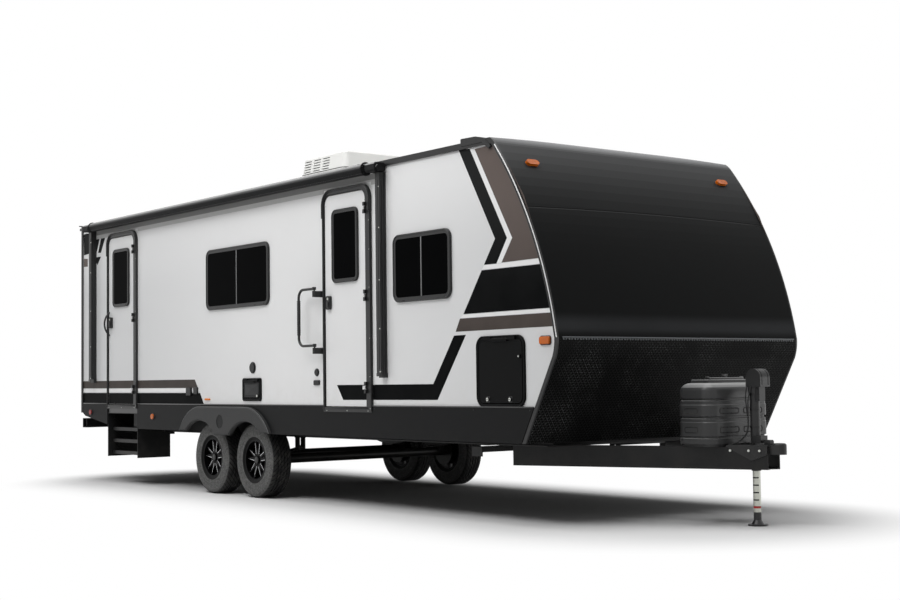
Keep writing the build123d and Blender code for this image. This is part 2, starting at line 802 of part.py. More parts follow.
def rail(side):
    y = side * railY
    section = railSection(y, railFlange, railFootZ, floorBottomZ)
    beam = acrossX(section, fx(railRearBehind), fx(railFrontBehind))
    for behind in hangerBehind:
        beam = beam + hanger(behind, y)
    return beam


save("rail_near", rail(-1))
save("rail_far", rail(1))

crossBehind = [520.0, 960.0, 2400.0, 3600.0, 5500.0, bodyLength - 766.0, bodyLength - 106.0]
crossHeight = 100.0
bumperSize = 100.0
bumperRearBehind = bodyLength + 124.0


def crossMembers():
    pieces = []
    for behind in crossBehind:
        # those over the A-frame drop between the rail flanges and rest on its beams
        low = behind < beamRear[0]
        half = railY - (railFlange if low else railWeb) / 2
        z0 = railFootZ + (0.0 if low else railFlangeThickness)
        x = fx(behind)
        web = block(x - 4, x + 4, -half, half, z0, z0 + crossHeight)
        lip = block(x - 4, x + 44, -half, half, z0 + crossHeight - 8, z0 + crossHeight)
        foot = block(x - 4, x + 44, -half, half, z0, z0 + 8)
        pieces.append(web + lip + foot)
    x0 = fx(bumperRearBehind)
    outer = block(x0, x0 + bumperSize, -halfWidth + 60, halfWidth - 60, 560, 660)
    hollow = block(x0 + 5, x0 + bumperSize - 5, -halfWidth + 50, halfWidth - 50, 565, 655)
    bumper = outer - hollow
    for side in (-1, 1):
        arm = block(x0 + bumperSize, fx(railRearBehind), side * railY - 40, side * railY + 40, 570, 650)
        bumper = bumper + arm
    pieces.append(bumper)
    return pieces


save("cross_members", *crossMembers())


# ---- A-frame and coupler ----------------------------------------------------------------
beamFootZ = railFootZ - beamHeight


def beamPlace():
    start = Vector(fx(beamRear[0]), beamRear[1])
    end = Vector(fx(beamFront[0]), beamFront[1])
    return start, end


def aFrameBeam(side):
    # C channel, web outside, on the line from the rail to the coupler
    start, end = beamPlace()
    run = (end - start).normalized()
    inward = Vector(run.Y, -run.X)
    over = 40.0
    a = start
    b = end
    def at(p, inset):
        q = p + inward * inset
        return (q.X, side * q.Y)
    def strip(inset0, inset1, z0, z1):
        pts = [at(a, inset0), at(b, inset0), at(b, inset1), at(a, inset1)]
        return upZ(outline(pts), z0, z1)
    web = strip(0, beamWall, beamFootZ, railFootZ)
    foot = strip(0, beamFlange, beamFootZ, beamFootZ + beamWall)
    head = strip(0, beamFlange, railFootZ - beamWall, railFootZ)
    beam = web + foot + head
    half = block(0, noseX + 2000, 0.5 * side, 2000 * side, 0, 1000)
    return beam & half


save("a_frame_near", aFrameBeam(-1))
save("a_frame_far", aFrameBeam(1))

couplerPlate = 12.0


def coupler():
    noseBack = fx(couplerNoseBehind)
    ballX = noseBack - 48.0
    start, end = beamPlace()
    run = (end - start).normalized()
    def edgeY(x):
        return end.Y + (end.X - x) * (-run.Y / run.X)
    z0, z1 = railFootZ, railFootZ + couplerPlate
    tail = fx(coverBehind - coverRadius - 12.0)
    front = fx(beamFront[0])
    top = outline([
        (tail, edgeY(tail)), (front, edgeY(front)), (front, -edgeY(front)), (tail, -edgeY(tail)),
        (tail + 90, -30), (tail + 90, 30),
    ])
    body = upZ(top, z0, z1)
    hub = upZ(Pos(ballX, 0) * Circle(47), z0 - 50, z1 + 14)
    hub = fillet(hub.edges().group_by(Axis.Z)[-1], 16)
    neck = block(front, ballX, -47, 47, z0 - 50, z1)
    lever = block(ballX - 118, ballX - 10, -16, 16, z1, z1 + 12)
    grip = block(ballX - 118, ballX - 64, -20, 20, z1 + 12, z1 + 34)
    neck = neck + lever + chamfer(grip.edges().filter_by(Axis.Y).group_by(Axis.Z)[-1], 8)
    body = body + hub + neck
    body = body - upZ(Pos(ballX, 0) * Circle(ballBoreRadius), z0 - 60, z0 - 50 + ballBoreDepth)
    # side plates over the beams, drawn down to a point
    for side in (-1, 1):
        inward = Vector(run.Y, -run.X)
        p0 = Vector(tail, edgeY(tail))
        p1 = Vector(front, edgeY(front))
        tip = p0 + (p1 - p0) * 0.62
        plate = []
        face = Plane(
            origin=(p0.X, side * p0.Y, 0), x_dir=(run.X, side * run.Y, 0),
            z_dir=(-inward.X, -side * inward.Y, 0),
        )
        length = (p1 - p0).length
        up = 1 if side > 0 else -1
        if (face.y_dir.Z > 0):
            up = 1
        else:
            up = -1
        pts = [
            (0, up * z0), (length * 0.62, up * (z0 - 92)), (length, up * (z0 - 50)),
            (length, up * z1), (0, up * z1),
        ]
        body = body + extrude(face * outline(pts), amount=10.0)
    jackX = fx(jackBehind)
    return body - upZ(Pos(jackX, 0) * Circle(jackTubeRadius + 0.5), 0, 1000)


save("coupler", coupler())


# ---- tongue jack ------------------------------------------------------------------------
def tongueJack():
    x = fx(jackBehind)
    tube = upZ(Pos(x, 0) * Circle(jackTubeRadius), jackTubeFootZ, jackHeadZ + 10)
    flangeZ = railFootZ + couplerPlate
    flange = upZ(Pos(x, 0) * RegularPolygon(78, 3, rotation=60), flangeZ, flangeZ + 12)
    # arched motor housing, its round back across the tube
    half = jackHeadLength / 2
    centreX = x + jackHeadShift
    crownZ0 = jackTopZ - half
    arch = Pos(centreX, crownZ0) * Circle(half)
    arch = arch + Pos(centreX, (jackHeadZ + crownZ0) / 2) * Rectangle(2 * half, crownZ0 - jackHeadZ)
    head = acrossY(arch, -jackHeadWidth / 2, jackHeadWidth / 2)
    for y in (-jackHeadWidth / 2 + 16, jackHeadWidth / 2 - 22):
        ring = acrossY(arch, y, y + 6) - acrossY(offset(arch, amount=-5.0), y - 1, y + 7)
        head = head - (ring & block(centreX - 200, centreX + 200, -200, 200, jackHeadZ + 12, jackTopZ + 10))
    collar = upZ(Pos(x, 0) * Circle(44), jackHeadZ - 40, jackHeadZ)
    switchBox = block(x + jackTubeRadius - 6, x + jackTubeRadius + 34, -30, 30, jackHeadZ - 96, jackHeadZ)
    clip = block(x - 8, x + jackTubeRadius + 42, -34, 34, flangeZ + 12, flangeZ + 62)
    body = tube + flange + collar + head + switchBox + clip
    return body - upZ(Pos(x, 0) * Circle(jackBore), 0, jackTopZ - 12)


def jackPost():
    x = fx(jackBehind)
    post = upZ(Pos(x, 0) * Circle(jackPostRadius), jackFootThickness, jackPostTopZ)
    foot = upZ(Pos(x, 0) * Circle(jackFootRadius), 0, jackFootThickness)
    cone = Pos(x, 0, jackFootThickness + 14) * Cone(44, jackPostRadius, 28)
    return post + foot + cone


save("tongue_jack", tongueJack())
save("jack_post", jackPost())


# ---- gas bottle cover -----------------------------------------------------------------------
def stadium(inset):
    return SlotCenterToCenter(2 * coverHalfSpread, 2 * (coverRadius - inset))


def gasCover():
    x = fx(coverBehind)
    place = Pos(x, 0) * Rot(0, 0, 90)
    body = upZ(place * stadium(0), railFootZ, coverShoulderZ)
    body = fillet(body.edges().group_by(Axis.Z)[-1], 40)
    body = chamfer(body.edges().group_by(Axis.Z)[0], 18)
    for z in coverSeams:
        body = body - (upZ(place * stadium(-5), z, z + 10) - upZ(place * stadium(8), z, z + 10))
    for z in coverRibs:
        # short pressed-in channels round both ends
        channel = upZ(place * stadium(-5), z, z + 16) - upZ(place * stadium(6), z, z + 16)
        middle = block(x - 400, x + 400, -coverHalfSpread - 30, coverHalfSpread + 30, z - 1, z + 17)
        body = body - (channel - middle)
    lid = upZ(place * stadium(58), coverShoulderZ, coverTopZ)
    lid = fillet(lid.edges().group_by(Axis.Z)[-1], 14)
    hollow = upZ(place * stadium(78), coverTopZ - 10, coverTopZ)
    return body + (lid - hollow)


save("gas_bottle_cover", gasCover())


# ---- axles, springs, wheels -------------------------------------------------------------------
tyreInnerY = tyreOuterY - tyreWidth


def axle(behind):
    x = fx(behind)
    hub = tyreInnerY + 60.0
    tube = rod(axleTubeRadius, (x, -tyreInnerY + 20, wheelRadius), (x, tyreInnerY - 20, wheelRadius))
    for side in (-1, 1):
        low, high = side * (tyreInnerY - 26), side * (tyreInnerY - 20)
        plate = rod(drumRadius + 8, (x, low, wheelRadius), (x, high, wheelRadius))
        spindle = rod(18, (x, side * (tyreInnerY - 20), wheelRadius), (x, side * hub, wheelRadius))
        seat = block(x - 50, x + 50, side * railY - 30, side * railY + 30, wheelRadius, wheelRadius + 52)
        tube = tube + plate + spindle + seat
    return tube


def leafSpring(side):
    # two arched packs and the equalizer between them
    y = side * railY
    pieces = []
    seatZ = wheelRadius + 52.3
    for behind in wheelBehind:
        x = fx(behind)
        low = ThreePointArc(
            (x - springHalfLength + 16, pinZ - 10), (x, seatZ), (x + springHalfLength - 16, pinZ - 10)
        )
        reach = springHalfLength - 16
        high = ThreePointArc(
            (x - reach, pinZ + 8), (x, seatZ + springThickness), (x + reach, pinZ + 8)
        )
        ends = [Line(low @ 0, high @ 0), Line(low @ 1, high @ 1)]
        face = make_face([low, high] + ends)
        pack = acrossY(face, y - springWidth / 2, y + springWidth / 2)
        for s in (-1, 1):
            eyeX = x + s * springHalfLength
            eye = rod(20, (eyeX, y - springWidth / 2, pinZ), (eyeX, y + springWidth / 2, pinZ))
            bore = rod(pinRadius + 0.3, (eyeX, y - 40, pinZ), (eyeX, y + 40, pinZ))
            pack = (pack + eye) - bore
        pieces.append(pack)
    return pieces


springSet = leafSpring(-1) + leafSpring(1)
save("axles", axle(wheelBehind[0]), axle(wheelBehind[1]))
save("leaf_springs", *springSet)


# grooves round the tread: distance from its middle, half width, depth
treadGrooves = [(-46.0, 4.0, 7.0), (-16.0, 5.0, 8.0), (16.0, 5.0, 8.0), (46.0, 4.0, 7.0)]


def tyre(x, side):
    shoulder = 34.0
    inner = rimRadius
    half = tyreWidth / 2
    # (radius, axial) down the outer side, over the tread and back up
    section = [
        (inner, -half + 14),
        (inner + 16, -half + 5),
        (inner + 26, -half + 5),
        (wheelRadius - 62, -half),
        (wheelRadius - shoulder, -half + 1),
        (wheelRadius - 8, -half + 16),
        (wheelRadius, -half + 34),
    ]
    for middle, wide, deep in treadGrooves:
        section.append((wheelRadius, middle - wide))
        section.append((wheelRadius - deep, middle - wide + 1))
        section.append((wheelRadius - deep, middle + wide - 1))
        section.append((wheelRadius, middle + wide))
    section += [
        (wheelRadius, half - 34),
        (wheelRadius - 8, half - 16),
        (wheelRadius - shoulder, half - 1),
        (wheelRadius - 62, half),
        (inner + 26, half - 5),
        (inner + 16, half - 5),
        (inner, half - 14),
    ]
    # turned about the axial line
    ring = revolve(Plane.XY * outline(section), axis=Axis.Y)
    return Pos(x, side * (tyreOuterY - half), wheelRadius) * ring


spokeCount = 5
nutCircle = 57.0
nutRadius = 11.0


def rim(x, side):
    # axial 0 is the outer face, growing inward
    width = tyreWidth - 34.0
    barrel = Circle(rimRadius - 0.3) - Circle(rimRadius - 9)
    lip = Circle(rimRadius - 0.3) - Circle(rimRadius - 14)
    body = extrude(barrel, amount=width) + extrude(lip, amount=8)
    hubBack = 70.0
    hub = extrude(Pos(0, 0, 34) * Circle(nutCircle + 16), amount=hubBack - 34)
    cap = extrude(Pos(0, 0, 14) * Circle(34), amount=20)
    disc = hub + cap
    for i in range(spokeCount):
        turn = 360.0 / spokeCount * i
        nut = Rot(0, 0, turn + 36.0) * Pos(nutCircle, 0, 22) * RegularPolygon(nutRadius, 6)
        disc = disc + extrude(nut, amount=22)
        for split in (-13.0, 13.0):
            arm = outline([(40, -15), (rimRadius - 6, -9), (rimRadius - 6, 9), (40, 15)])
            bar = extrude(Pos(0, 0, 24) * Rot(0, 0, turn + split) * arm, amount=26)
            disc = disc + bar
    drum = extrude(Pos(0, 0, 78) * Circle(drumRadius), amount=width - 78 + 6)
    drum = drum + extrude(Pos(0, 0, 60) * Circle(50), amount=30)
    bore = extrude(Pos(0, 0, 70) * Circle(18.6), amount=width)
    body = (body + disc + drum) - bore
    # place: local Z inward
    faceY = side * (tyreOuterY - 16)
    place = Plane(origin=(x, faceY, wheelRadius), x_dir=(0, 0, 1), z_dir=(0, -side, 0))
    return place * body


corners = []
for sideName, side in (("near", -1), ("far", 1)):
    for rowName, behind in (("front", wheelBehind[0]), ("rear", wheelBehind[1])):
        corners.append((f"{sideName}_{rowName}", fx(behind), side))
for name, x, side in corners:
    save(f"tyre_{name}", tyre(x, side))
    save(f"rim_{name}", rim(x, side))


# ---- stabilizer legs ---------------------------------------------------------------------------
def stabilizerLeg(behind, side):
    # stowed level, pivot inboard, foot outboard
    x = fx(behind)
    z = railFootZ - legDrop
    y0, y1 = sorted((side * legPivotY, side * (legPivotY + legLength)))
    bar = block(x - legWidth / 2, x + legWidth / 2, y0, y1, z - legHeight / 2, z + legHeight / 2)
    hollow = block(
        x - legWidth / 2 + 5, x + legWidth / 2 - 5, y0 - 5, y1 + 5, z - legHeight, z + legHeight / 2 - 5
    )
    bar = bar - hollow
    footY = side * (legPivotY + legLength)
    foot = block(x - 60, x + 60, *sorted((footY, footY + side * 8)), z - 50, z + 20)
    eye = rod(20, (x - legWidth / 2, side * legPivotY, z), (x + legWidth / 2, side * legPivotY, z))
    return (bar + foot + eye) - rod(9, (x - 60, side * legPivotY, z), (x + 60, side * legPivotY, z))


def stabilizerMounts():
    pieces = []
    for behind in legBehind:
        x = fx(behind)
        z = railFootZ - legDrop
        beam = block(x - 40, x + 40, -railY - 40, railY + 40, railFootZ - 6, railFootZ)
        for side in (-1, 1):
            y = side * legPivotY
            for s in (-1, 1):
                x0, x1 = sorted((x + s * (legWidth / 2 + 1), x + s * (legWidth / 2 + 7)))
                beam = beam + block(x0, x1, y - 26, y + 26, z - 24, railFootZ - 6)
            beam = beam + rod(8.6, (x - legWidth / 2 - 7, y, z), (x + legWidth / 2 + 7, y, z))
        pieces.append(beam)
    return pieces


for rowName, behind in (("front", legBehind[0]), ("rear", legBehind[1])):
    for sideName, side in (("near", -1), ("far", 1)):
        save(f"stabilizer_{sideName}_{rowName}", stabilizerLeg(behind, side))
save("stabilizer_mounts", *stabilizerMounts())

# ---- folding steps -------------------------------------------------------------------------------
stowedAngle = degrees(asin(stepStowedDrop / stepLinkLength))
treadRun = stepLinkLength * cos(radians(stowedAngle))
housingX0 = fx(stepBehindRear)
housingX1 = fx(stepBehindFront)
linkX = [housingX0 + stepPlate + stepSideGap, housingX1 - stepPlate - stepSideGap]
treadX0 = linkX[0] + stepLinkThickness + stepTreadGap
treadX1 = linkX[1] - stepLinkThickness - stepTreadGap


def stepHousing():
    # two hanging side plates, a top plate and the pivot pins, each its own plain solid
    outY = -halfWidth - 6
    inY = -railY - railFlange / 2 - 6
    lowInY = -railY + 14
    plates = []
    pins = []
    for x, s in ((housingX0, 1), (housingX1, -1)):
        side = outline([
            (outY, stepFootZ), (outY, floorBottomZ), (inY, floorBottomZ), (inY, railFootZ - 8),
            (lowInY, railFootZ - 8), (lowInY, stepFootZ),
        ])
        face = x + s * stepPlate
        plates.append(acrossX(side, min(x, face), max(x, face)))
        near = face + s * (stepSideGap - 1)
        end = face + s * (stepSideGap + stepLinkThickness)
        spacer = rod(stepPinRadius + 8, (face, -stepPivotY, stepPivotZ), (near, -stepPivotY, stepPivotZ))
        pin = rod(stepPinRadius, (face, -stepPivotY, stepPivotZ), (end, -stepPivotY, stepPivotZ))
        pins.append(spacer + pin)
    top = block(
        housingX0 + stepPlate, housingX1 - stepPlate, outY, inY, floorBottomZ - 5, floorBottomZ
    )
    return plates + pins + [top]


def stepLink(index):
    # pair of bars from (front pivot above) to (rear pivot of the tread below), joined by its lower pins
    z = stepPivotZ - index * stepStowedDrop
    y = -stepPivotY
    far = (y + treadRun, z - stepStowedDrop)
    bars = []
    for k, s in ((0, 1), (1, -1)):
        x0 = linkX[k]
        x1 = x0 + s * stepLinkThickness
        lo, hi = sorted((x0, x1))
        place = Plane(origin=(lo, y, z), x_dir=(0, far[0] - y, far[1] - z), z_dir=(1, 0, 0))
        slot = Pos(stepLinkLength / 2, 0) * SlotCenterToCenter(stepLinkLength, 28)
        bar = extrude(place * slot, amount=hi - lo)
        bar = bar - rod(stepBore, (lo - 5, y, z), (hi + 5, y, z))
        pin = rod(stepPinRadius, (x1, far[0], far[1]), (x1 + s * (stepTreadGap + 8), far[0], far[1]))
        bars.append(bar + pin)
    return bars


def stepTread(index):
    # channel tread with end plates; rear bore takes the link above, front pin carries the link below
    z = stepPivotZ - (index + 1) * stepStowedDrop
    rearY = -stepPivotY + treadRun
    frontY = -stepPivotY
    topZ = z + 18
    y0, y1 = frontY - 30, rearY + 22
    top = block(treadX0, treadX1, y0, y1, topZ - 5, topZ)
    lip = block(treadX0, treadX1, y0, y0 + 5, topZ - stepFlange, topZ)
    back = block(treadX0, treadX1, y1 - 5, y1, topZ - stepFlange, topZ)
    tread = top + lip + back
    for k, s in ((0, 1), (1, -1)):
        x = (treadX0, treadX1)[k]
        x0, x1 = sorted((x, x + s * 8))
        tread = tread + block(x0, x1, y0, y1, z - 16, topZ)
        tread = tread - rod(stepBore, (x0 - 5, rearY, z), (x1 + 5, rearY, z))
        if index < 2:
            end = x - s * (stepTreadGap + stepLinkThickness)
            tread = tread + rod(stepPinRadius, (x, frontY, z), (end, frontY, z))
    return tread


save("step_housing", *stepHousing())
for i in range(3):
    save(f"step_link_{i + 1}", *stepLink(i))
    save(f"step_tread_{i + 1}", stepTread(i))


# ---- awning -----------------------------------------------------------------------------------------
def awningArm(behind):
    x1 = fx(behind)
    x0 = x1 - awningArmWidth
    out = -halfWidth - awningArmProud
    base = block(x0, x1, -halfWidth - 16, -halfWidth, awningArmFootZ, awningArmHeadZ)
    bar = block(x0 + 5, x1 - 5, out, -halfWidth - 16, awningArmFootZ + 30, awningArmHeadZ)
    # nested channels: a groove down the face, a foot bracket and a shallow slot at each side
    groove = block(x1 - 26, x1 - 20, out - 1, out + 8, awningArmFootZ + 60, awningArmHeadZ - 60)
    slots = []
    for a, b in ((x0 + 4, x0 + 9), (x1 - 9, x1 - 4)):
        slots.append(block(a, b, out + 16, out + 24, awningArmFootZ + 60, awningArmHeadZ - 60))
    foot = block(x0 - 4, x1 + 4, -halfWidth - 34, -halfWidth, awningArmFootZ - 6, awningArmFootZ + 30)
    arm = base + bar + foot - groove
    for slot in slots:
        arm = arm - slot
    return arm


def awningRoller():
    # rolled fabric between two end castings that sit on the arms
    y = -halfWidth - awningRollerOut
    spans = []
    for behind in awningArmBehind:
        spans.append((fx(behind) - awningArmWidth, fx(behind)))
    start = spans[1][1] + awningRollerGap
    end = spans[0][0] - awningRollerGap
    tube = rod(awningRollerRadius, (start, y, awningRollerZ), (end, y, awningRollerZ))
    for (x0, x1), s in ((spans[0], 1), (spans[1], -1)):
        inner = end if s > 0 else start
        outer = x1 + 18 if s > 0 else x0 - 18
        disc = rod(awningRollerRadius + 8, (inner, y, awningRollerZ), (inner + s * 12, y, awningRollerZ))
        shaft = rod(16, (inner, y, awningRollerZ), (outer, y, awningRollerZ))
        a, b = sorted((outer, inner + s * (awningRollerGap - 40)))
        head = block(a, b, y - 40, -halfWidth - trimProud, awningRollerZ - 36, awningRollerZ + 34)
        head = chamfer(head.edges().filter_by(Axis.X), 14)
        knob = rod(26, (outer, y, awningRollerZ - 10), (outer + s * 12, y, awningRollerZ - 10))
        tube = tube + disc + shaft + head + knob
        # locking lever that points aft
        lever = rod(6, (a, y - 20, awningRollerZ + 26), (a - 120, y - 20, awningRollerZ + 40))
        tube = tube + (lever & block(a - 400, a + 2, y - 60, y + 60, 0, skyZ))
    return tube


save("awning_arms", awningArm(awningArmBehind[0]), awningArm(awningArmBehind[1]))
save("awning_roller", awningRoller())


# ---- roof ---------------------------------------------------------------------------------------------
def crownZ(y):
    half = halfWidth + 30
    rise = roofCentreZ - roofEdgeZ
    radius = (half * half + rise * rise) / (2 * rise)
    return roofCentreZ - radius + sqrt(radius * radius - y * y)


def onRoof(piece):
    return piece - outerCrown


# louvres: first slot from the rear end, slot length, pitch along, columns, rows, pitch up
airConLouvres = (62.0, 118.0, 158.0, 3, 5, 25.0)


def airConditioner():
    x0, x1 = fx(airConBehind[1]), fx(airConBehind[0])
    middle, size = (x0 + x1) / 2, x1 - x0
    wide = 2 * airConHalfWidth
    base = upZ(Pos(middle, 0) * RectangleRounded(size, wide, 70), roofCentreZ - 60, airConSeamZ)
    plan = Plane.XY.offset(airConSeamZ) * Pos(middle, 0) * RectangleRounded(size - 12, wide - 12, 64)
    upper = extrude(plan, amount=airConTopZ - airConSeamZ, taper=airConLean)
    upper = fillet(upper.edges().group_by(Axis.Z)[-1], 22)
    first, long, pitch, columns, rows, rise = airConLouvres
    lean = sin(radians(airConLean)) / cos(radians(airConLean))
    for side in (-1, 1):
        for column in range(columns):
            a = x0 + first + column * pitch
            for row in range(rows):
                z = airConSeamZ + 14 + row * rise
                face = airConHalfWidth - 6 - (z - airConSeamZ) * lean
                y0, y1 = sorted((side * (face - 16), side * (face + 10)))
                upper = upper - block(a, a + long, y0, y1, z, z + 10)
    return onRoof(base + upper)


# vents: behind, y, half length, half width, height
ventTable = [
    (1500.0, -500.0, 60.0, 60.0, 110.0),
    (2950.0, 0.0, 200.0, 200.0, 90.0),
    (bodyLength - 1266.0, 0.0, 200.0, 200.0, 90.0),
]


def roofVent(row):
    behind, y, halfX, halfY, height = row
    x = fx(behind)
    base = crownZ(y)
    body = block(x - halfX, x + halfX, y - halfY, y + halfY, base - 20, base + height)
    body = chamfer(body.edges().group_by(Axis.Z)[-1], 25)
    return onRoof(body)


save("roof_units", airConditioner(), *[roofVent(row) for row in ventTable])


# ---- lamps ----------------------------------------------------------------------------------------------
def lampDisc(x, side, z, radius, base):
    return rod(radius, (x, side * base, z), (x, side * (base + 14), z))


def capSurface(z):
    # place and outward slope of the cap's face at height z, on the arc of its side view
    (ax, az), (bx, bz), (cx, cz) = (0.0, trimZ), capMid, shoulderPoint
    d = 2 * (ax * (bz - cz) + bx * (cz - az) + cx * (az - bz))
    sa, sb, sc = ax * ax + az * az, bx * bx + bz * bz, cx * cx + cz * cz
    ux = (sa * (bz - cz) + sb * (cz - az) + sc * (az - bz)) / d
    uz = (sa * (cx - bx) + sb * (ax - cx) + sc * (bx - ax)) / d
    radius = sqrt((ux - ax) ** 2 + (uz - az) ** 2)
    behind = ux - sqrt(radius * radius - (z - uz) ** 2)
    return behind, (ux - behind) / radius, (z - uz) / radius


skirtLampBehind = [5965.0, bodyLength - 249.0]
skirtLampZ = 698.0
lampRadius = 26.0
# side turn lamp near the nose: behind, z, length, height
noseLamp = (132.0, 1272.0, 104.0, 52.0)
capLampY = 985.0
capLampZ = 2535.0
rearMarkerZ = roofEdgeZ - 70.0
amber = []
for side in (-1, 1):
    amber.append(lampDisc(fx(skirtLampBehind[0]), side, skirtLampZ, lampRadius, halfWidth + skirtThickness))
    behind, z, long, high = noseLamp
    lens = roundedPlate(fx(behind) - long / 2, fx(behind) + long / 2, z - high / 2, z + high / 2, 14)
    lens = acrossY(lens, *sorted((side * halfWidth, side * (halfWidth + 20))))
    outward = lens.faces().sort_by(Axis.Y)[-1 if side > 0 else 0]
    amber.append(chamfer(outward.edges(), 5))
    behind, ahead, up = capSurface(capLampZ)
    root = (fx(behind) - 20 * ahead, side * capLampY, capLampZ - 20 * up)
    place = Plane(origin=root, x_dir=(0, 1, 0), z_dir=(ahead, 0, up))
    lamp = extrude(place * SlotOverall(112, 46), amount=42)
    amber.append(lamp - acrossY(outerSide, -halfWidth, halfWidth))
save("amber_lamps", *amber)

tailZ = 1250.0
red = []
for side in (-1, 1):
    skirtFace = halfWidth + skirtThickness
    red.append(lampDisc(fx(skirtLampBehind[1]), side, skirtLampZ + 30, lampRadius, skirtFace))
    face = Pos(side * 1080, tailZ) * RectangleRounded(90, 260, 30)
    red.append(acrossX(face, rearX - 28, rearX))
for y in (-985.0, -160.0, 0.0, 160.0, 985.0):
    face = Pos(y, rearMarkerZ) * SlotOverall(112, 40)
    red.append(acrossX(face, rearX - 22, rearX))
save("red_lamps", *red)

# ---- fittings on the walls: covers, ports and vents -----------------------------------------------------
# side, centre behind, z, length, height, corner radius, proud
wallCovers = [
    (-1, 5216.0, 940.0, 92.0, 74.0, 10.0, 20.0),
    (-1, 5086.0, 948.0, 76.0, 64.0, 10.0, 16.0),
    (-1, 4864.0, 868.0, 92.0, 16.0, 6.0, 12.0),
    (-1, 2984.0, 1008.0, 84.0, 42.0, 10.0, 14.0),
    (1, bodyLength - 1716.0, 1046.0, 420.0, 420.0, 18.0, 16.0),
    (1, 3050.0, 1060.0, 360.0, 210.0, 16.0, 14.0),
    (1, 2450.0, 1150.0, 150.0, 150.0, 16.0, 14.0),
    (1, bodyLength - 836.0, 1200.0, 190.0, 210.0, 16.0, 14.0),
    (1, bodyLength - 336.0, 1050.0, 150.0, 150.0, 16.0, 14.0),
]
# side, behind, z, radius, proud
wallPorts = [
    (-1, 4034.0, 1147.0, 51.0, 14.0),
    (-1, 2985.0, 1093.0, 32.0, 12.0),
    (1, 2050.0, 1000.0, 58.0, 18.0),
    (1, bodyLength - 1166.0, 960.0, 40.0, 22.0),
]
plateZ = 900.0  # blank number plate holder on the rear wall
plateSize = (330.0, 180.0)
cameraZ = roofEdgeZ - 165.0


def wallFittings():
    pieces = []
    for side, behind, z, long, high, radius, proud in wallCovers:
        x = fx(behind)
        plate = roundedPlate(x - long / 2, x + long / 2, z - high / 2, z + high / 2, radius)
        piece = acrossY(plate, *sorted((side * halfWidth, side * (halfWidth + proud))))
        outward = piece.faces().sort_by(Axis.Y)[-1 if side > 0 else 0]
        pieces.append(chamfer(outward.edges(), 3))
    for side, behind, z, radius, proud in wallPorts:
        x = fx(behind)
        flange = rod(radius, (x, side * halfWidth, z), (x, side * (halfWidth + 5), z))
        lid = rod(radius * 0.8, (x, side * (halfWidth + 5), z), (x, side * (halfWidth + proud), z))
        pieces.append(flange + lid)
    high, long = plateSize[1], plateSize[0]
    plate = Pos(-300, plateZ) * RectangleRounded(long, high, 14)
    pieces.append(acrossX(plate, rearX - 10, rearX))
    camera = block(rearX - 60, rearX, -45, 45, cameraZ - 25, cameraZ + 30)
    pieces.append(chamfer(camera.edges().filter_by(Axis.Y).group_by(Axis.X)[0], 18))
    return pieces


save("wall_fittings", *wallFittings())

for name, centre in entryDoors:
    print(name, "door hinge", [round(v, 1) for v in hingeAxis(centre)])
print("stowed link angle", round(stowedAngle, 3), "tread run", round(treadRun, 2))
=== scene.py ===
import json
import math

import bmesh
import bpy
from mathutils import Matrix, Vector


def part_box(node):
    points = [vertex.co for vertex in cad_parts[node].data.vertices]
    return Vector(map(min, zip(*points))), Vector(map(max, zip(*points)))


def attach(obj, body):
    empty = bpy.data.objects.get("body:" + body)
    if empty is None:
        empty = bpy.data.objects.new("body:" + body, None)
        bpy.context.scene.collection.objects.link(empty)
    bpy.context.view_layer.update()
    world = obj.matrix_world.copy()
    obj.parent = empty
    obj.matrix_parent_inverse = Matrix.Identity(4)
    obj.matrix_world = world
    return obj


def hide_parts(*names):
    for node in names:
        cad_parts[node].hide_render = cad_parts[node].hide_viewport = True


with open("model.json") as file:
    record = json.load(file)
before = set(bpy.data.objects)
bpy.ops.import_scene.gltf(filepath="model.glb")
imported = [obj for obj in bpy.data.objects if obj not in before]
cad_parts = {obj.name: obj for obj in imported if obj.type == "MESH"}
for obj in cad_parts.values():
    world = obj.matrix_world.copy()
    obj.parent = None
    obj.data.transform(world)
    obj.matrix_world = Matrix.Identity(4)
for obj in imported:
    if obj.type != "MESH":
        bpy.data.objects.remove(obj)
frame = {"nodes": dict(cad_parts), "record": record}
nodes = frame["nodes"]
scene = bpy.context.scene


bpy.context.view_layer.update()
print("frame loaded with", len(nodes), "nodes")


# shader values with ordinary arithmetic
class Value:
    def __init__(self, look, socket):
        self.look = look
        self.socket = socket

    def maths(self, operation, first, second=0.0):
        return self.look.node("ShaderNodeMath", {"operation": operation}, {0: first, 1: second})

    def __add__(self, other):
        return self.maths("ADD", self, other)

    def __radd__(self, other):
        return self.maths("ADD", other, self)

    def __sub__(self, other):
        return self.maths("SUBTRACT", self, other)

    def __rsub__(self, other):
        return self.maths("SUBTRACT", other, self)

    def __mul__(self, other):
        return self.maths("MULTIPLY", self, other)

    def __rmul__(self, other):
        return self.maths("MULTIPLY", other, self)

    def __gt__(self, other):
        return self.maths("GREATER_THAN", self, other)

    def __lt__(self, other):
        return self.maths("LESS_THAN", self, other)

    def __mod__(self, other):
        return self.maths("FLOORED_MODULO", self, other)

    def __abs__(self):
        return self.maths("ABSOLUTE", self)

    def power(self, other):
        return self.maths("POWER", self, other)

    def larger(self, other):
        return self.maths("MAXIMUM", self, other)

    def sine(self):
        return self.maths("SINE", self)

    def angle(self, other):
        return self.maths("ARCTAN2", self, other)

    def rise(self, low, high, start=0.0, end=1.0):
        # a soft step from start to end while the value goes from low to high
        settings = {"interpolation_type": "SMOOTHSTEP"}
        return self.look.node(
            "ShaderNodeMapRange", settings, {0: self, 1: low, 2: high, 3: start, 4: end}
        )

    def within(self, low, high):
        return (self > low) * (self < high)


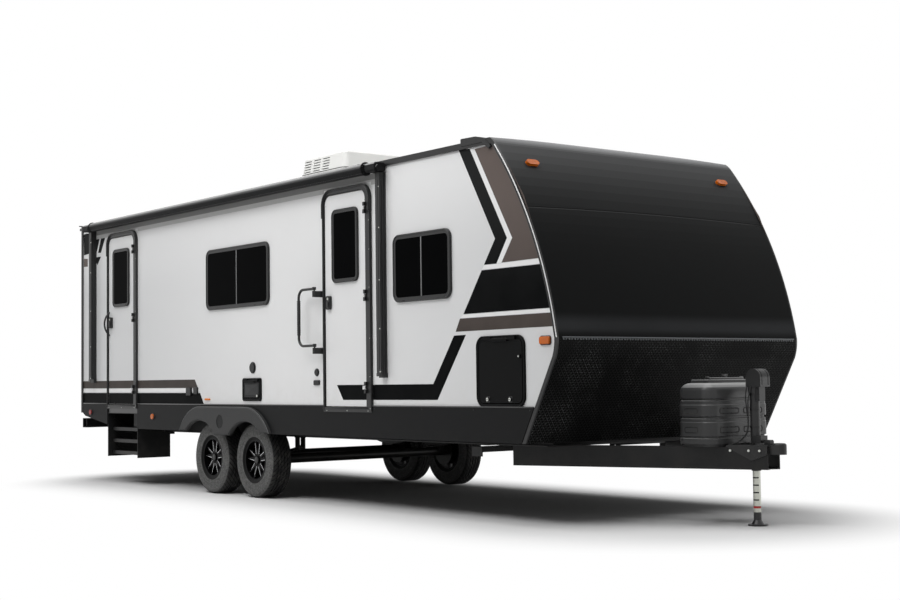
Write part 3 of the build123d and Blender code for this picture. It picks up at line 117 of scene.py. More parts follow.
# a node tree: every node that isn't plain arithmetic is made by node()
class Look:
    def __init__(self, tree):
        self.tree = tree
        tree.nodes.clear()

    def node(self, kind, settings=None, sockets=None, out=0):
        made = self.tree.nodes.new(kind)
        for key, value in (settings or {}).items():
            setattr(made, key, value)
        for key, value in (sockets or {}).items():
            if isinstance(value, Value):
                self.tree.links.new(value.socket, made.inputs[key])
            else:
                made.inputs[key].default_value = value
        outputs = made.outputs
        return Value(self, outputs[out]) if len(outputs) else made

    def place(self):
        return self.node("ShaderNodeTexCoord", out=3)

    def xyz(self, vector=None):
        split = self.node("ShaderNodeSeparateXYZ", sockets={0: vector or self.place()})
        outputs = split.socket.node.outputs
        return [Value(self, outputs[i]) for i in range(3)]

    def facing(self):
        # which way the surface looks, as x, y and z
        return self.xyz(self.node("ShaderNodeNewGeometry", out=3))

    def stretched(self, x, y, z):
        return self.node("ShaderNodeMapping", sockets={0: self.place(), 3: (x, y, z)})

    def noise(self, scale, detail, rough=0.5, vector=None):
        sockets = {0: vector or self.place(), 2: scale, 3: detail, 4: rough}
        return self.node("ShaderNodeTexNoise", sockets=sockets)

    def mix(self, factor, first, second):
        settings = {"data_type": "RGBA"}
        colours = {}
        for key, value in ((6, first), (7, second)):
            colours[key] = value if isinstance(value, Value) else (*value, 1.0)
        return self.node("ShaderNodeMix", settings, {0: factor, **colours}, out=2)

    def seen(self):
        # what the camera sees, itself or in metal and glass
        path = self.node("ShaderNodeLightPath")
        outputs = path.socket.node.outputs
        names = ("Is Camera Ray", "Is Glossy Ray", "Is Transmission Ray")
        camera, glossy, through = [Value(self, outputs[name]) for name in names]
        return camera.larger(glossy).larger(through)


class Finish(Look):
    def __init__(self, name, base, rough, **plain):
        self.material = bpy.data.materials.new(name)
        self.material.use_nodes = True
        super().__init__(self.material.node_tree)
        surface = self.node("ShaderNodeBsdfPrincipled")
        self.shader = surface.socket.node
        self.node("ShaderNodeOutputMaterial", sockets={0: surface})
        self.give("Base Color", base)
        self.give("Roughness", rough)
        for socket, value in plain.items():
            self.give(socket.replace("_", " "), value)

    def give(self, socket, value):
        if isinstance(value, Value):
            self.tree.links.new(value.socket, self.shader.inputs[socket])
            return
        if isinstance(value, tuple) and len(value) == 3:
            value = (*value, 1.0)
        self.shader.inputs[socket].default_value = value

    def bump(self, height, depth, strength):
        sockets = {"Strength": strength, "Distance": depth, "Height": height}
        self.give("Normal", self.node("ShaderNodeBump", sockets=sockets))


dust = (0.17, 0.155, 0.13)


def dusty(finish, base, rough, amount, top=0.9):
    # road dust that thins out with height, broken up by noise
    height = finish.xyz()[2]
    cloud = finish.noise(7.0, 5.0, 0.6)
    film = height.rise(0.1, top, amount, 0.0) * cloud.rise(0.3, 0.75)
    finish.give("Base Color", finish.mix(film, base, dust))
    finish.give("Roughness", film * 0.4 + rough)


# where the patterns start and stop on the caravan, in metres
patternAt = {
    "wallFoot": 0.8105, "wallInside": 1.1705, "rearInside": -4.168, "cabinFloor": 0.7,
    "capRollSheen": (1.30, 1.36, 1.38, 1.47), "capCrease": 2.212, "capCreaseBow": 0.012,
    "treadPitch": 0.034, "meshMiddle": (1.097, 0.668), "meshRadius": 0.0585, "deckUnder": 0.797,
    "roofSeams": (4.21, 2.29),
    "legFoot": 0.092, "legBand": (0.118, 0.133), "legNotches": (0.16, 0.05),
    "markerX": (-1.46, -1.355), "markerZ": (0.85, 0.885),
}
# the wheels of a side: how far aft of the origin the line between them is, how far each stands
# from that line, and the height of the axles
wheelPlace = {"between": 1.048, "half": 0.389, "axle": 0.3315}
tyreRings = {"rim": (0.203, 0.209), "edge": (0.322, 0.312), "bead": 0.204, "marks": (0.222, 0.262)}


def wheelFold(finish):
    # both wheels of a side share one pattern, folded about the line between them
    x, y, z = finish.xyz()
    u = abs(x + wheelPlace["between"]) - wheelPlace["half"]
    v = z - wheelPlace["axle"]
    return y, u, v, (u * u + v * v).power(0.5)


# finishes
def sidewallFinish():
    finish = Finish("gelcoatWhite", (0.8, 0.8, 0.8), 0.3, Coat_Weight=0.2, Coat_Roughness=0.3)
    x, y, z = finish.xyz()
    wave = finish.noise(1.6, 3.0, 0.5)
    outer = finish.mix(wave, (0.755, 0.757, 0.76), (0.785, 0.785, 0.785))
    # painted shade and light: the wall is painted darker towards the front and the rear, and paler
    # towards the top
    ends = abs(x - 0.2).rise(0.2, 3.2, 0.0, 0.95)
    outer = finish.mix(ends, outer, (0.64, 0.645, 0.65))
    outer = finish.mix(z.rise(1.9, 2.6, 0.0, 0.5), outer, (0.88, 0.88, 0.88))
    film = z.rise(0.78, 1.15, 0.16, 0.0) * finish.noise(9.0, 4.0, 0.6).rise(0.35, 0.8)
    outer = finish.mix(film, outer, (0.52, 0.49, 0.44))
    outer = finish.mix(z < patternAt["wallFoot"], outer, (0.006, 0.006, 0.0062))
    # inside the cabin the same panel is a pale board with a fine grain
    grain = finish.noise(3.0, 6.0, 0.6, finish.stretched(14.0, 14.0, 0.8))
    board = finish.mix(grain, (0.46, 0.40, 0.32), (0.62, 0.56, 0.47))
    inside = abs(y) < patternAt["wallInside"]
    inside = inside * (z > patternAt["cabinFloor"]) * (x > patternAt["rearInside"])
    finish.give("Base Color", finish.mix(inside, outer, board))
    finish.give("Roughness", wave * 0.1 + 0.3 + inside * 0.25)
    ripple = finish.noise(1.4, 0.0, 0.4) + finish.noise(420.0, 1.0, 0.5) * 0.01
    finish.bump(ripple, 0.001, 0.25)
    return finish


def capFinish():
    finish = Finish("capGlossBlack", (0.004, 0.004, 0.004), 0.3, Specular_IOR_Level=0.045)
    y, z = finish.xyz()[1:]
    fleck = finish.noise(900.0, 1.0, 0.5)
    broad = finish.noise(1.1, 2.0, 0.5)
    base = finish.mix(broad, (0.0030, 0.0033, 0.0034), (0.0050, 0.0053, 0.0054))
    base = finish.mix(fleck.rise(0.55, 0.85), base, (0.009, 0.0094, 0.0098))
    # painted highlight: faces of the crown that look up are painted much lighter, and a painted
    # sheen lies on the roll above the joint
    crownHighlight = finish.facing()[2].rise(0.3, 0.92)
    foot, full, fade, head = patternAt["capRollSheen"]
    roll = z.rise(foot, full) * z.rise(head, fade) * (0.6 + broad * 0.8)
    base = finish.mix(crownHighlight * crownHighlight, base, (0.19, 0.192, 0.195))
    base = finish.mix(roll * 0.5, base, (0.055, 0.057, 0.06))
    finish.give("Base Color", base)
    finish.give("Roughness", finish.noise(3.0, 3.0) * 0.1 + 0.29)
    # a moulded crease right across the cap
    bow = y * y * patternAt["capCreaseBow"]
    crease = abs(z - patternAt["capCrease"] + bow).rise(0.0, 0.007)
    finish.bump(crease + finish.noise(1.3, 2.0) * 0.6 + fleck * 0.01, 0.005, 0.6)
    return finish


def treadPlateFinish():
    finish = Finish("treadPlateBlack", (0.003, 0.003, 0.003), 0.3, Specular_IOR_Level=0.05)
    y, z = finish.xyz()[1:]
    # raised lugs in two crossed rows
    perMetre = 1.0 / patternAt["treadPitch"]
    along = (y + z) * perMetre
    across = (y - z) * perMetre
    lugs = None
    for shift, first, second in ((0.0, along, across), (0.5, across, along)):
        u = (first + shift) % 1.0 - 0.5
        v = (second + shift) % 1.0 - 0.5
        lug = (1.0 - (u * u * 5.5 + v * v * 60.0)).larger(0.0).power(0.6)
        lugs = lug if lugs is None else lugs.larger(lug)
    front = lugs * finish.facing()[0].rise(0.2, 0.5)
    # painted light: the lugs are painted lighter than the plate, brighter in broad patches as a
    # painted reflection, with small painted glints on top
    reflectionPatches = finish.noise(2.4, 3.0, 0.6).rise(0.40, 0.66)
    glint = finish.noise(60.0, 2.0).rise(0.5, 0.7) * reflectionPatches
    lug = finish.mix(reflectionPatches, (0.004, 0.0042, 0.0042), (0.040, 0.041, 0.040))
    lug = finish.mix(glint, lug, (0.16, 0.165, 0.165))
    finish.give("Base Color", finish.mix(front, (0.0012, 0.0014, 0.0014), lug))
    finish.give("Roughness", 0.42 - front * 0.16 + finish.noise(30.0, 3.0) * 0.1)
    finish.bump(front + finish.noise(1.4, 2.0) * 0.2, 0.003, 1.0)
    return finish


def painted(name, base, rough, amount, level, top=0.9):
    # sprayed paint on metal: orange peel, scuffs and road dust
    finish = Finish(name, base, rough, Specular_IOR_Level=level)
    scuff = finish.noise(38.0, 6.0, 0.7).rise(0.64, 0.8)
    lighter = tuple(min(c * 2.2 + 0.006, 1.0) for c in base)
    dusty(finish, finish.mix(scuff, base, lighter), rough, amount, top)
    finish.bump(finish.noise(260.0, 2.0) + scuff * 0.6, 0.0006, 0.25)
    return finish


def leathery(finish, grain, depth):
    cells = finish.node("ShaderNodeTexVoronoi", sockets={0: finish.place(), 2: grain})
    finish.bump(cells, depth, 0.5)
    return finish


def mouldedPlastic(name, base, rough, grain, amount=0.25, level=0.25, crownHighlight=None):
    # moulded plastic with a leathery grain, and where a highlight colour is given, painted lighter
    # where it faces up as a painted highlight
    finish = Finish(name, base, rough, Specular_IOR_Level=level)
    tone = base
    if crownHighlight:
        above = finish.facing()[2].rise(0.25, 0.95)
        tone = finish.mix(above * above, base, crownHighlight)
    dusty(finish, tone, rough, amount)
    return leathery(finish, grain, 0.0003)


def fenderFinish():
    plain = (0.033, 0.0335, 0.034)
    finish = Finish("fenderPlastic", plain, 0.5, Specular_IOR_Level=0.16)
    x, _, z = finish.xyz()
    # the round recess between the arches is dark, with a fine mesh
    u = x + patternAt["meshMiddle"][0]
    v = z - patternAt["meshMiddle"][1]
    recess = (u * u + v * v).power(0.5) < patternAt["meshRadius"]
    mesh = ((x * 420.0).sine() * (z * 420.0).sine()).rise(0.2, 0.6)
    dark = finish.mix(mesh, (0.004, 0.004, 0.004), (0.022, 0.022, 0.022))
    dusty(finish, finish.mix(recess, plain, dark), 0.5, 0.14)
    return leathery(finish, 700.0, 0.0005)


def rubberTyre():
    finish = Finish("tyreRubber", (0.016, 0.016, 0.0165), 0.7, Specular_IOR_Level=0.16)
    y, u, v, radius = wheelFold(finish)
    turn = v.angle(u)
    cloud = finish.noise(11.0, 6.0, 0.65)
    speckle = finish.noise(75.0, 4.0, 0.6)
    # mottled side, raised rings, cuts across the tread and lugs on the shoulder
    side = radius.rise(*tyreRings["rim"]) * radius.rise(*tyreRings["edge"])
    rings = (radius * 520.0).sine().rise(0.55, 0.95) * radius.within(*tyreRings["marks"])
    cuts = (turn * 46.0 + abs(y) * 160.0).sine().rise(0.62, 0.9) * radius.rise(0.318, 0.324)
    lugs = (turn * 38.0).sine().rise(0.3, 0.6) * radius.within(0.290, 0.318)
    base = finish.mix(cloud.rise(0.42, 0.7), (0.02, 0.02, 0.0205), (0.058, 0.057, 0.054))
    # the side is painted a mottled paler grey, partly the rubber's own tone and partly painted
    # highlight that lightens the shade under the fender
    sideToneAndHighlight = side * (speckle.rise(0.35, 0.7) * 0.5 + 0.35)
    base = finish.mix(sideToneAndHighlight, base, (0.17, 0.17, 0.167))
    base = finish.mix(rings * 0.6, base, (0.03, 0.03, 0.03))
    base = finish.mix(radius < tyreRings["bead"], base, (0.0025, 0.0025, 0.0025))
    # the cuts across the tread are painted almost black, a painted shade in the grooves
    base = finish.mix(cuts, base, (0.003, 0.003, 0.003))
    finish.give("Base Color", base)
    finish.give("Roughness", cloud * 0.25 + 0.55)
    relief = rings * 0.7 - cuts * 2.0 + lugs * 0.8 + finish.noise(330.0, 3.0) * 0.3
    finish.bump(relief, 0.0016, 0.8)
    return finish


def wheelAlloy():
    finish = Finish("wheelGlossBlack", (0.003, 0.003, 0.003), 0.25, Specular_IOR_Level=0.08)
    swirl = finish.noise(55.0, 3.0)
    film = swirl.rise(0.55, 0.85) * 0.2
    finish.give("Base Color", finish.mix(film, (0.0025, 0.0025, 0.003), (0.03, 0.028, 0.025)))
    finish.give("Roughness", 0.29 + swirl * 0.12 + film * 0.3)
    finish.bump(finish.noise(240.0, 2.0), 0.0003, 0.2)
    return finish


def machinedMetal():
    # turned face of the wheel spokes, with its fine tool marks
    finish = Finish("machinedAlloy", (0.7, 0.71, 0.72), 0.22, Metallic=0.9)
    radius = wheelFold(finish)[3]
    marks = (radius * 9000.0).sine() * 0.5 + 0.5
    finish.give("Base Color", finish.mix(marks, (0.58, 0.59, 0.60), (0.80, 0.81, 0.82)))
    finish.give("Roughness", marks * 0.1 + 0.18)
    return finish


def tintedGlass(name="tintedGlass"):
    finish = Finish(name, (0.001, 0.001, 0.0012), 0.05, Specular_IOR_Level=0.007)
    smear = finish.noise(4.0, 4.0, 0.6)
    finish.give("Roughness", smear.rise(0.4, 0.8) * 0.06 + 0.04)
    finish.give("Base Color", finish.mix(smear, (0.0006, 0.0006, 0.0008), (0.0016, 0.0018, 0.002)))
    return finish


def galvanised():
    finish = Finish("galvanisedSteel", (0.5, 0.51, 0.5), 0.38, Metallic=0.9)
    crystals = finish.node("ShaderNodeTexVoronoi", sockets={0: finish.place(), 2: 130.0}, out=1)
    grey = finish.node("ShaderNodeRGBToBW", sockets={0: crystals})
    finish.give("Base Color", finish.mix(grey, (0.42, 0.43, 0.40), (0.62, 0.63, 0.60)))
    finish.give("Roughness", grey * 0.2 + 0.3)
    finish.bump(finish.noise(200.0, 2.0), 0.0004, 0.3)
    return finish


def vinyl(name, low, high, rough, level, start=0.9):
    # printed film; the upper wall looks up into the light and reads paler
    finish = Finish(name, low, rough, Specular_IOR_Level=level)
    sheen = finish.noise(5.0, 3.0)
    tone = finish.mix(finish.xyz()[2].rise(start, 2.5), low, high)
    lighter = tuple(min(c * 1.25, 0.85) for c in high)
    finish.give("Base Color", finish.mix(sheen * 0.3, tone, lighter))
    finish.give("Roughness", sheen * 0.08 + rough)
    finish.bump(finish.noise(3.0, 1.0), 0.0008, 0.25)
    return finish


def lens(name, base):
    # moulded lens with prisms both ways
    finish = Finish(name, base, 0.12, Specular_IOR_Level=0.25)
    x, y, z = finish.xyz()
    ribs = ((z * 1100.0).sine() * 0.5 + 0.5).larger(((x + y) * 1100.0).sine() * 0.5 + 0.5)
    darker = tuple(c * 0.55 for c in base)
    finish.give("Base Color", finish.mix(ribs, darker, base))
    finish.bump(ribs, 0.0012, 0.5)
    return finish


def roofMembrane():
    finish = Finish("roofMembrane", (0.74, 0.74, 0.72), 0.6)
    x = finish.xyz()[0]
    cloud = finish.noise(3.5, 6.0, 0.65)
    streak = finish.noise(2.0, 4.0, 0.6, finish.stretched(8.0, 0.6, 1.0))
    stain = cloud.rise(0.45, 0.8) * 0.5 + streak.rise(0.5, 0.8) * 0.4
    start, sheet = patternAt["roofSeams"]
    seam = abs((x + start) % sheet - sheet / 2).rise(0.0, 0.02)
    top = finish.mix(stain, (0.62, 0.62, 0.61), (0.42, 0.41, 0.38))
    finish.give("Base Color", finish.mix(seam, (0.74, 0.74, 0.73), top))
    finish.give("Roughness", cloud * 0.2 + 0.5)
    finish.bump(finish.noise(45.0, 3.0) + cloud * 2.0 - seam * 2.0, 0.001, 0.4)
    return finish


def plyDeck():
    finish = Finish("plyDeck", (0.5, 0.4, 0.28), 0.55)
    x, y, z = finish.xyz()
    grain = finish.noise(2.5, 6.0, 0.6, finish.stretched(1.0, 16.0, 1.0))
    board = ((y * 6.5) % 1.0).rise(0.0, 0.03)
    deck = finish.mix(grain, (0.30, 0.21, 0.14), (0.46, 0.35, 0.25))
    deck = finish.mix(board, (0.16, 0.11, 0.08), deck)
    under = z < patternAt["deckUnder"]
    flutes = ((x * 90.0).sine() * 0.5 + 0.5) * under
    below = finish.mix(finish.noise(9.0, 4.0), (0.006, 0.006, 0.006), (0.024, 0.023, 0.021))
    finish.give("Base Color", finish.mix(under, deck, below))
    finish.give("Roughness", grain * 0.2 + 0.42)
    finish.bump(grain * 0.4 + board * 0.4 + flutes, 0.0015, 0.5)
    return finish


def stepMetal():
    # painted treads with rows of raised grip buttons
    finish = Finish("stepBlack", (0.006, 0.006, 0.006), 0.4, Specular_IOR_Level=0.25)
    x, y = finish.xyz()[:2]
    u = (x * 28.0) % 1.0 - 0.5
    v = (y * 28.0) % 1.0 - 0.5
    button = (u * u + v * v).rise(0.045, 0.02) * finish.facing()[2].rise(0.7, 0.9)
    base = finish.mix(button, (0.006, 0.0062, 0.0065), (0.035, 0.035, 0.034))
    dusty(finish, base, 0.42, 0.25, 0.6)
    finish.bump(button + finish.noise(240.0, 2.0) * 0.2, 0.0016, 0.7)
    return finish


def jackLegFinish():
    # plated inner leg with a red travel band and a black drop foot
    finish = Finish("jackLeg", (0.5, 0.51, 0.5), 0.38, Metallic=0.9)
    y, z = finish.xyz()[1:]
    cloud = finish.noise(40.0, 4.0)
    plated = finish.mix(cloud, (0.40, 0.405, 0.36), (0.60, 0.61, 0.55))
    start, pitch = patternAt["legNotches"]
    notches = ((z - 0.02) % pitch < 0.009) * (y < -0.008) * (z > start)
    plated = finish.mix(notches, plated, (0.02, 0.02, 0.02))
    black = z < patternAt["legFoot"]
    band = z.within(*patternAt["legBand"])
    base = finish.mix(band, plated, (0.42, 0.012, 0.012))
    finish.give("Base Color", finish.mix(black, base, (0.008, 0.008, 0.0085)))
    finish.give("Metallic", 0.85 - band * 0.85 - black * 0.85)
    finish.give("Roughness", cloud * 0.2 + 0.3)
    return finish


def wallFittingFinish():
    # the far side's covers are white, the near side's black, with one amber marker
    finish = Finish("wallFittings", (0.01, 0.01, 0.01), 0.35, Specular_IOR_Level=0.25)
    x, y, z = finish.xyz()
    grain = finish.noise(420.0, 2.0)
    black = finish.mix(grain, (0.007, 0.0072, 0.0075), (0.014, 0.0143, 0.0148))
    white = finish.mix(finish.noise(6.0, 3.0), (0.72, 0.72, 0.71), (0.80, 0.80, 0.79))
    marker = x.within(*patternAt["markerX"]) * z.within(*patternAt["markerZ"]) * (y < 0.0)
    base = finish.mix((y > 0.6) * (x > -4.15), black, white)
    finish.give("Base Color", finish.mix(marker, base, (0.75, 0.2, 0.01)))
    finish.give("Roughness", grain * 0.15 + 0.3)
    finish.bump(grain, 0.0003, 0.4)
    return finish


def awningVinyl():
    # rolled awning cloth: a close weave with long soft wrinkles
    finish = Finish("awningVinyl", (0.010, 0.0102, 0.0108), 0.5, Specular_IOR_Level=0.06)
    x, y, z = finish.xyz()
    weave = (x * 2600.0).sine() * ((z + y) * 2600.0).sine()
    wrinkle = finish.noise(9.0, 3.0, 0.5, finish.stretched(0.35, 4.0, 4.0))
    cloth = finish.mix(wrinkle, (0.003, 0.0031, 0.0034), (0.010, 0.0102, 0.0106))
    # painted highlight: the upper side of the roll is painted much lighter
    above = finish.facing()[2].rise(-0.1, 0.95)
    finish.give("Base Color", finish.mix(above, cloth, (0.30, 0.30, 0.30)))
    finish.give("Roughness", wrinkle * 0.16 + 0.38)
    finish.bump(wrinkle * 2.0 + weave * 0.12, 0.0012, 0.5)
    return finish


# one finish for each slot of the frame
finishes = {
    "body_white": sidewallFinish(),
    "cap_black": capFinish(),
    "tread_plate": treadPlateFinish(),
    "roof_membrane": roofMembrane(),
    "hatch_black": painted(
        "hatchGlossBlack", (0.006, 0.0062, 0.0064), 0.3, amount=0.05, level=0.04
    ),
    "skirt_grey": painted(
        "skirtSatinBlack", (0.012, 0.0122, 0.0126), 0.42, top=0.75, amount=0.1, level=0.05
    ),
    "fender_plastic": fenderFinish(),
    "chassis_black": painted(
        "chassisBlack", (0.0085, 0.0087, 0.009), 0.4, top=0.7, amount=0.12, level=0.22
    ),
    "tyre": rubberTyre(),
    "rim_alloy": wheelAlloy(),
    "black_trim": painted("trimBlack", (0.018, 0.0182, 0.0186), 0.3, amount=0.06, level=0.3),
    "dark_glass": tintedGlass(),
    "zinc": galvanised(),
    # the cover's upward faces get a painted highlight
    "cover_black": mouldedPlastic(
        "coverPlastic", (0.037, 0.0375, 0.038), 0.34, 1100.0,
        amount=0.06, level=0.3, crownHighlight=(0.34, 0.342, 0.34),
    ),
    "handle_black": painted(
        "handleBlack", (0.007, 0.0072, 0.0075), 0.3, amount=0.04, level=0.35
    ),
    "step_metal": stepMetal(),
    "awning_black": painted(
        "awningBlack", (0.021, 0.0213, 0.0218), 0.36, amount=0.05, level=0.3
    ),
    "roof_plastic": mouldedPlastic("roofPlastic", (0.66, 0.66, 0.645), 0.35, 500.0),
    "amber": lens("amberLens", (0.62, 0.13, 0.004)),
    "red": lens("redLens", (0.30, 0.006, 0.006)),
    "floor_ply": plyDeck(),
}
nodeSlots = {entry["node"]: entry["material_slot"] for entry in frame["record"]["subparts"]}
# nodes that look different from the rest of their slot
ownFinishes = {
    "jack_post": jackLegFinish(),
    "coupler": painted("couplerSatin", (0.026, 0.0263, 0.027), 0.34, amount=0.12, level=0.2),
    "tongue_jack": finishes["awning_black"],
    "wall_fittings": wallFittingFinish(),
    "awning_roller": awningVinyl(),
}
for name, thing in nodes.items():
    thing.data.materials.clear()
    thing.data.materials.append(ownFinishes.get(name, finishes[nodeSlots[name]]).material)
machined = machinedMetal()
print("finishes given to the nodes")


# shared modelling steps
def ended(mesh, name, finish, body, slotName, smooth=True):
    # a mesh becomes a piece that rides on a body; its finish can be given by the name of its slot
    if isinstance(finish, str):
        slotName = slotName or finish
        finish = finishes[finish]
    for face in mesh.polygons:
        face.use_smooth = smooth
    if smooth:
        mesh.set_sharp_from_angle(angle=math.radians(32))
    mesh.materials.clear()
    mesh.materials.append(finish.material)
    piece = bpy.data.objects.new(name, mesh)
    scene.collection.objects.link(piece)
    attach(piece, body)
    return piece


def finished(form, name, finish, body="body", slotName=None, smooth=True):
    bmesh.ops.recalc_face_normals(form, faces=form.faces)
    mesh = bpy.data.meshes.new(name)
    form.to_mesh(mesh)
    form.free()
    return ended(mesh, name, finish, body, slotName, smooth)


def joined(form, fresh, place=None):
    # a fresh bmesh goes into the form it belongs to
    if place:
        bmesh.ops.transform(fresh, matrix=place, verts=fresh.verts)
    held = bpy.data.meshes.new("held")
    fresh.to_mesh(held)
    fresh.free()
    form.from_mesh(held)
    bpy.data.meshes.remove(held)


def bevelled(form, geom, width, segments, affect="EDGES"):
    bmesh.ops.bevel(
        form, geom=geom, offset=width, segments=segments, affect=affect, profile=0.5, material=-1
    )


def thickened(form, depth):
    # every face grows into a plate along y; what moved is given back
    grown = bmesh.ops.extrude_face_region(form, geom=form.faces[:])["geom"]
    moved = [g for g in grown if isinstance(g, bmesh.types.BMVert)]
    bmesh.ops.translate(form, vec=(0, depth, 0), verts=moved)
    return moved


def quarterTurn(degrees, axis):
    return Matrix.Rotation(math.radians(degrees), 4, axis)


# turns that lay a side wall's plate on the roof or the rear wall
turnToRoof = quarterTurn(-90, "X")
turnToRear = quarterTurn(-90, "Z")


def addBox(form, low, high, bevel=0.0, place=None):
    fresh = bmesh.new()
    size = [b - a for a, b in zip(low, high)]
    middle = [(a + b) / 2 for a, b in zip(low, high)]
    bmesh.ops.create_cube(fresh, size=1.0)
    bmesh.ops.scale(fresh, vec=size, verts=fresh.verts)
    bmesh.ops.translate(fresh, vec=middle, verts=fresh.verts)
    if bevel:
        bevelled(fresh, fresh.edges[:], bevel, 2)
    joined(form, fresh, place)


def addRod(form, start, end, radius, sides, endRadius=None, bevel=0.0):
    start, end = Vector(start), Vector(end)
    fresh = bmesh.new()
    bmesh.ops.create_cone(
        fresh, cap_ends=True, segments=sides, radius1=radius,
        radius2=radius if endRadius is None else endRadius, depth=(end - start).length,
    )
    if bevel:
        rims = [e for e in fresh.edges if any(len(f.verts) > 4 for f in e.link_faces)]
        bevelled(fresh, rims, bevel, 2)
    turn = (end - start).to_track_quat("Z", "Y").to_matrix().to_4x4()
    joined(form, fresh, Matrix.Translation((start + end) / 2) @ turn)


def addRing(form, centre, inner, outer, high):
    # a band round an upright tube
    x, y, z = centre
    fresh = bmesh.new()
    corners = [(inner, 0.0), (outer, 0.0), (outer, high), (inner, high)]
    section = fresh.faces.new([fresh.verts.new((x + r, y, z + h)) for r, h in corners])
    bmesh.ops.spin(
        fresh, geom=list(section.edges) + list(section.verts), cent=(x, y, z), axis=(0, 0, 1),
        angle=2 * math.pi, steps=32, use_merge=True,
    )
    bmesh.ops.delete(fresh, geom=[section], context="FACES_ONLY")
    bmesh.ops.recalc_face_normals(fresh, faces=fresh.faces)
    joined(form, fresh)


def addScrew(form, spot, out, radius, proud):
    spot = Vector(spot)
    addRod(form, spot, spot + Vector(out) * proud, radius, 12, radius * 0.55)


def insetSpan(span, inset):
    x0, x1, z0, z1 = span
    return (x0 + inset, x1 - inset, z0 + inset, z1 - inset)


def addPlate(form, span, radius, back, front, ring=0.0, bevel=0.0, place=None, poke=0.0):
    # a plate or ring with round corners standing on a side wall, span = (x0, x1, z0, z1)
    x0, x1, z0, z1 = span
    fresh = bmesh.new()
    bmesh.ops.create_grid(fresh, x_segments=1, y_segments=1, size=0.5)
    bmesh.ops.scale(fresh, vec=(x1 - x0, z1 - z0, 1.0), verts=fresh.verts)
    bmesh.ops.rotate(fresh, matrix=Matrix.Rotation(math.pi / 2, 3, "X"), verts=fresh.verts)
    bmesh.ops.translate(fresh, vec=((x0 + x1) / 2, back, (z0 + z1) / 2), verts=fresh.verts)
    if radius:
        bevelled(fresh, fresh.verts[:], radius, 5, "VERTICES")
    if ring:
        whole = fresh.faces[:]
        bmesh.ops.inset_region(
            fresh, faces=whole, thickness=ring, use_even_offset=True, use_boundary=True
        )
        bmesh.ops.delete(fresh, geom=whole, context="FACES_ONLY")
    moved = thickened(fresh, front - back)
    if poke:
        # the front face rises to a point in its middle
        face = max(fresh.faces, key=lambda f: abs(f.calc_center_median().y - back))
        bmesh.ops.poke(fresh, faces=[face], offset=0.0, center_mode="MEAN")
        top = [v for v in fresh.verts if v not in moved and abs(v.co.y - front) < 1e-5]
        bmesh.ops.translate(fresh, vec=(0, poke, 0), verts=top)
    if bevel:
        bmesh.ops.recalc_face_normals(fresh, faces=fresh.faces)
        rims = [
            e for e in fresh.edges
            if len(e.link_faces) == 2 and e.calc_face_angle(0.0) > 0.9
            and all(abs(v.co.y - front) < 1e-5 for v in e.verts)
        ]
        bevelled(fresh, rims, bevel, 3)
    joined(form, fresh, place)


def addFlat(form, corners, y0, y1, keep):
    # a thin plate drawn as (x, z), trimmed to the box keep = (x0, x1, z0, z1)
    fresh = bmesh.new()
    fresh.faces.new([fresh.verts.new((x, y0, z)) for x, z in corners])
    x0, x1, z0, z1 = keep
    cuts = [
        ((x0, 0, 0), (-1, 0, 0)), ((x1, 0, 0), (1, 0, 0)),
        ((0, 0, z0), (0, 0, -1)), ((0, 0, z1), (0, 0, 1)),
    ]
    for spot, direction in cuts:
        geom = fresh.verts[:] + fresh.edges[:] + fresh.faces[:]
        bmesh.ops.bisect_plane(
            fresh, geom=geom, plane_co=spot, plane_no=direction, clear_outer=True, dist=1e-6
        )
    if fresh.faces:
        thickened(fresh, y1 - y0)
    joined(form, fresh)


def curveMesh(curve, name):
    holder = bpy.data.objects.new(name + "Line", curve)
    scene.collection.objects.link(holder)
    bpy.context.view_layer.update()
    graph = bpy.context.evaluated_depsgraph_get()
    mesh = bpy.data.meshes.new_from_object(holder.evaluated_get(graph))
    bpy.data.objects.remove(holder)
    bpy.data.curves.remove(curve)
    mesh.name = name
    return mesh


def roundCurve(name, radius, sides):
    curve = bpy.data.curves.new(name, "CURVE")
    curve.dimensions = "3D"
    curve.bevel_depth = radius
    curve.bevel_resolution = sides
    curve.use_fill_caps = True
    return curve


def tube(name, lines, radius, finish, body="body", slotName=None, sides=3, order=3):
    # rods along smooth lines
    curve = roundCurve(name, radius, sides)
    for points in lines:
        line = curve.splines.new("NURBS")
        line.points.add(len(points) - 1)
        for spot, target in zip(line.points, points):
            spot.co = (*target, 1.0)
        line.order_u = order
        line.use_endpoint_u = True
        line.resolution_u = 8
    return ended(curveMesh(curve, name), name, finish, body, slotName)


def beading(name, loops, radius, finish, body="body", slotName=None):
    # round beads along straight runs with round corners, loops = [(corners, corner radius, closed)]
    curve = roundCurve(name, radius, 2)
    for corners, bend, closed in loops:
        spots = [Vector(corner) for corner in corners]
        stations = []
        for i, here in enumerate(spots):
            if not closed and i in (0, len(spots) - 1):
                stations.append((here, here, here))
                continue
            before = (spots[i - 1] - here).normalized()
            after = (spots[(i + 1) % len(spots)] - here).normalized()
            reach = bend * math.tan((math.pi - before.angle(after)) / 2)
            # the handles that make a quarter circle stand at 0.4477 of the reach
            pull, outer = reach * 0.4477, reach + 0.01
            into = [here + before * far for far in (reach, outer, pull)]
            away = [here + after * far for far in (reach, pull, outer)]
            stations += [into, away]
        line = curve.splines.new("BEZIER")
        line.bezier_points.add(len(stations) - 1)
        for spot, (middle, left, right) in zip(line.bezier_points, stations):
            spot.handle_left_type = spot.handle_right_type = "FREE"
            spot.co, spot.handle_left, spot.handle_right = middle, left, right
        line.use_cyclic_u = closed
        line.resolution_u = 6
    return ended(curveMesh(curve, name), name, finish, body, slotName)


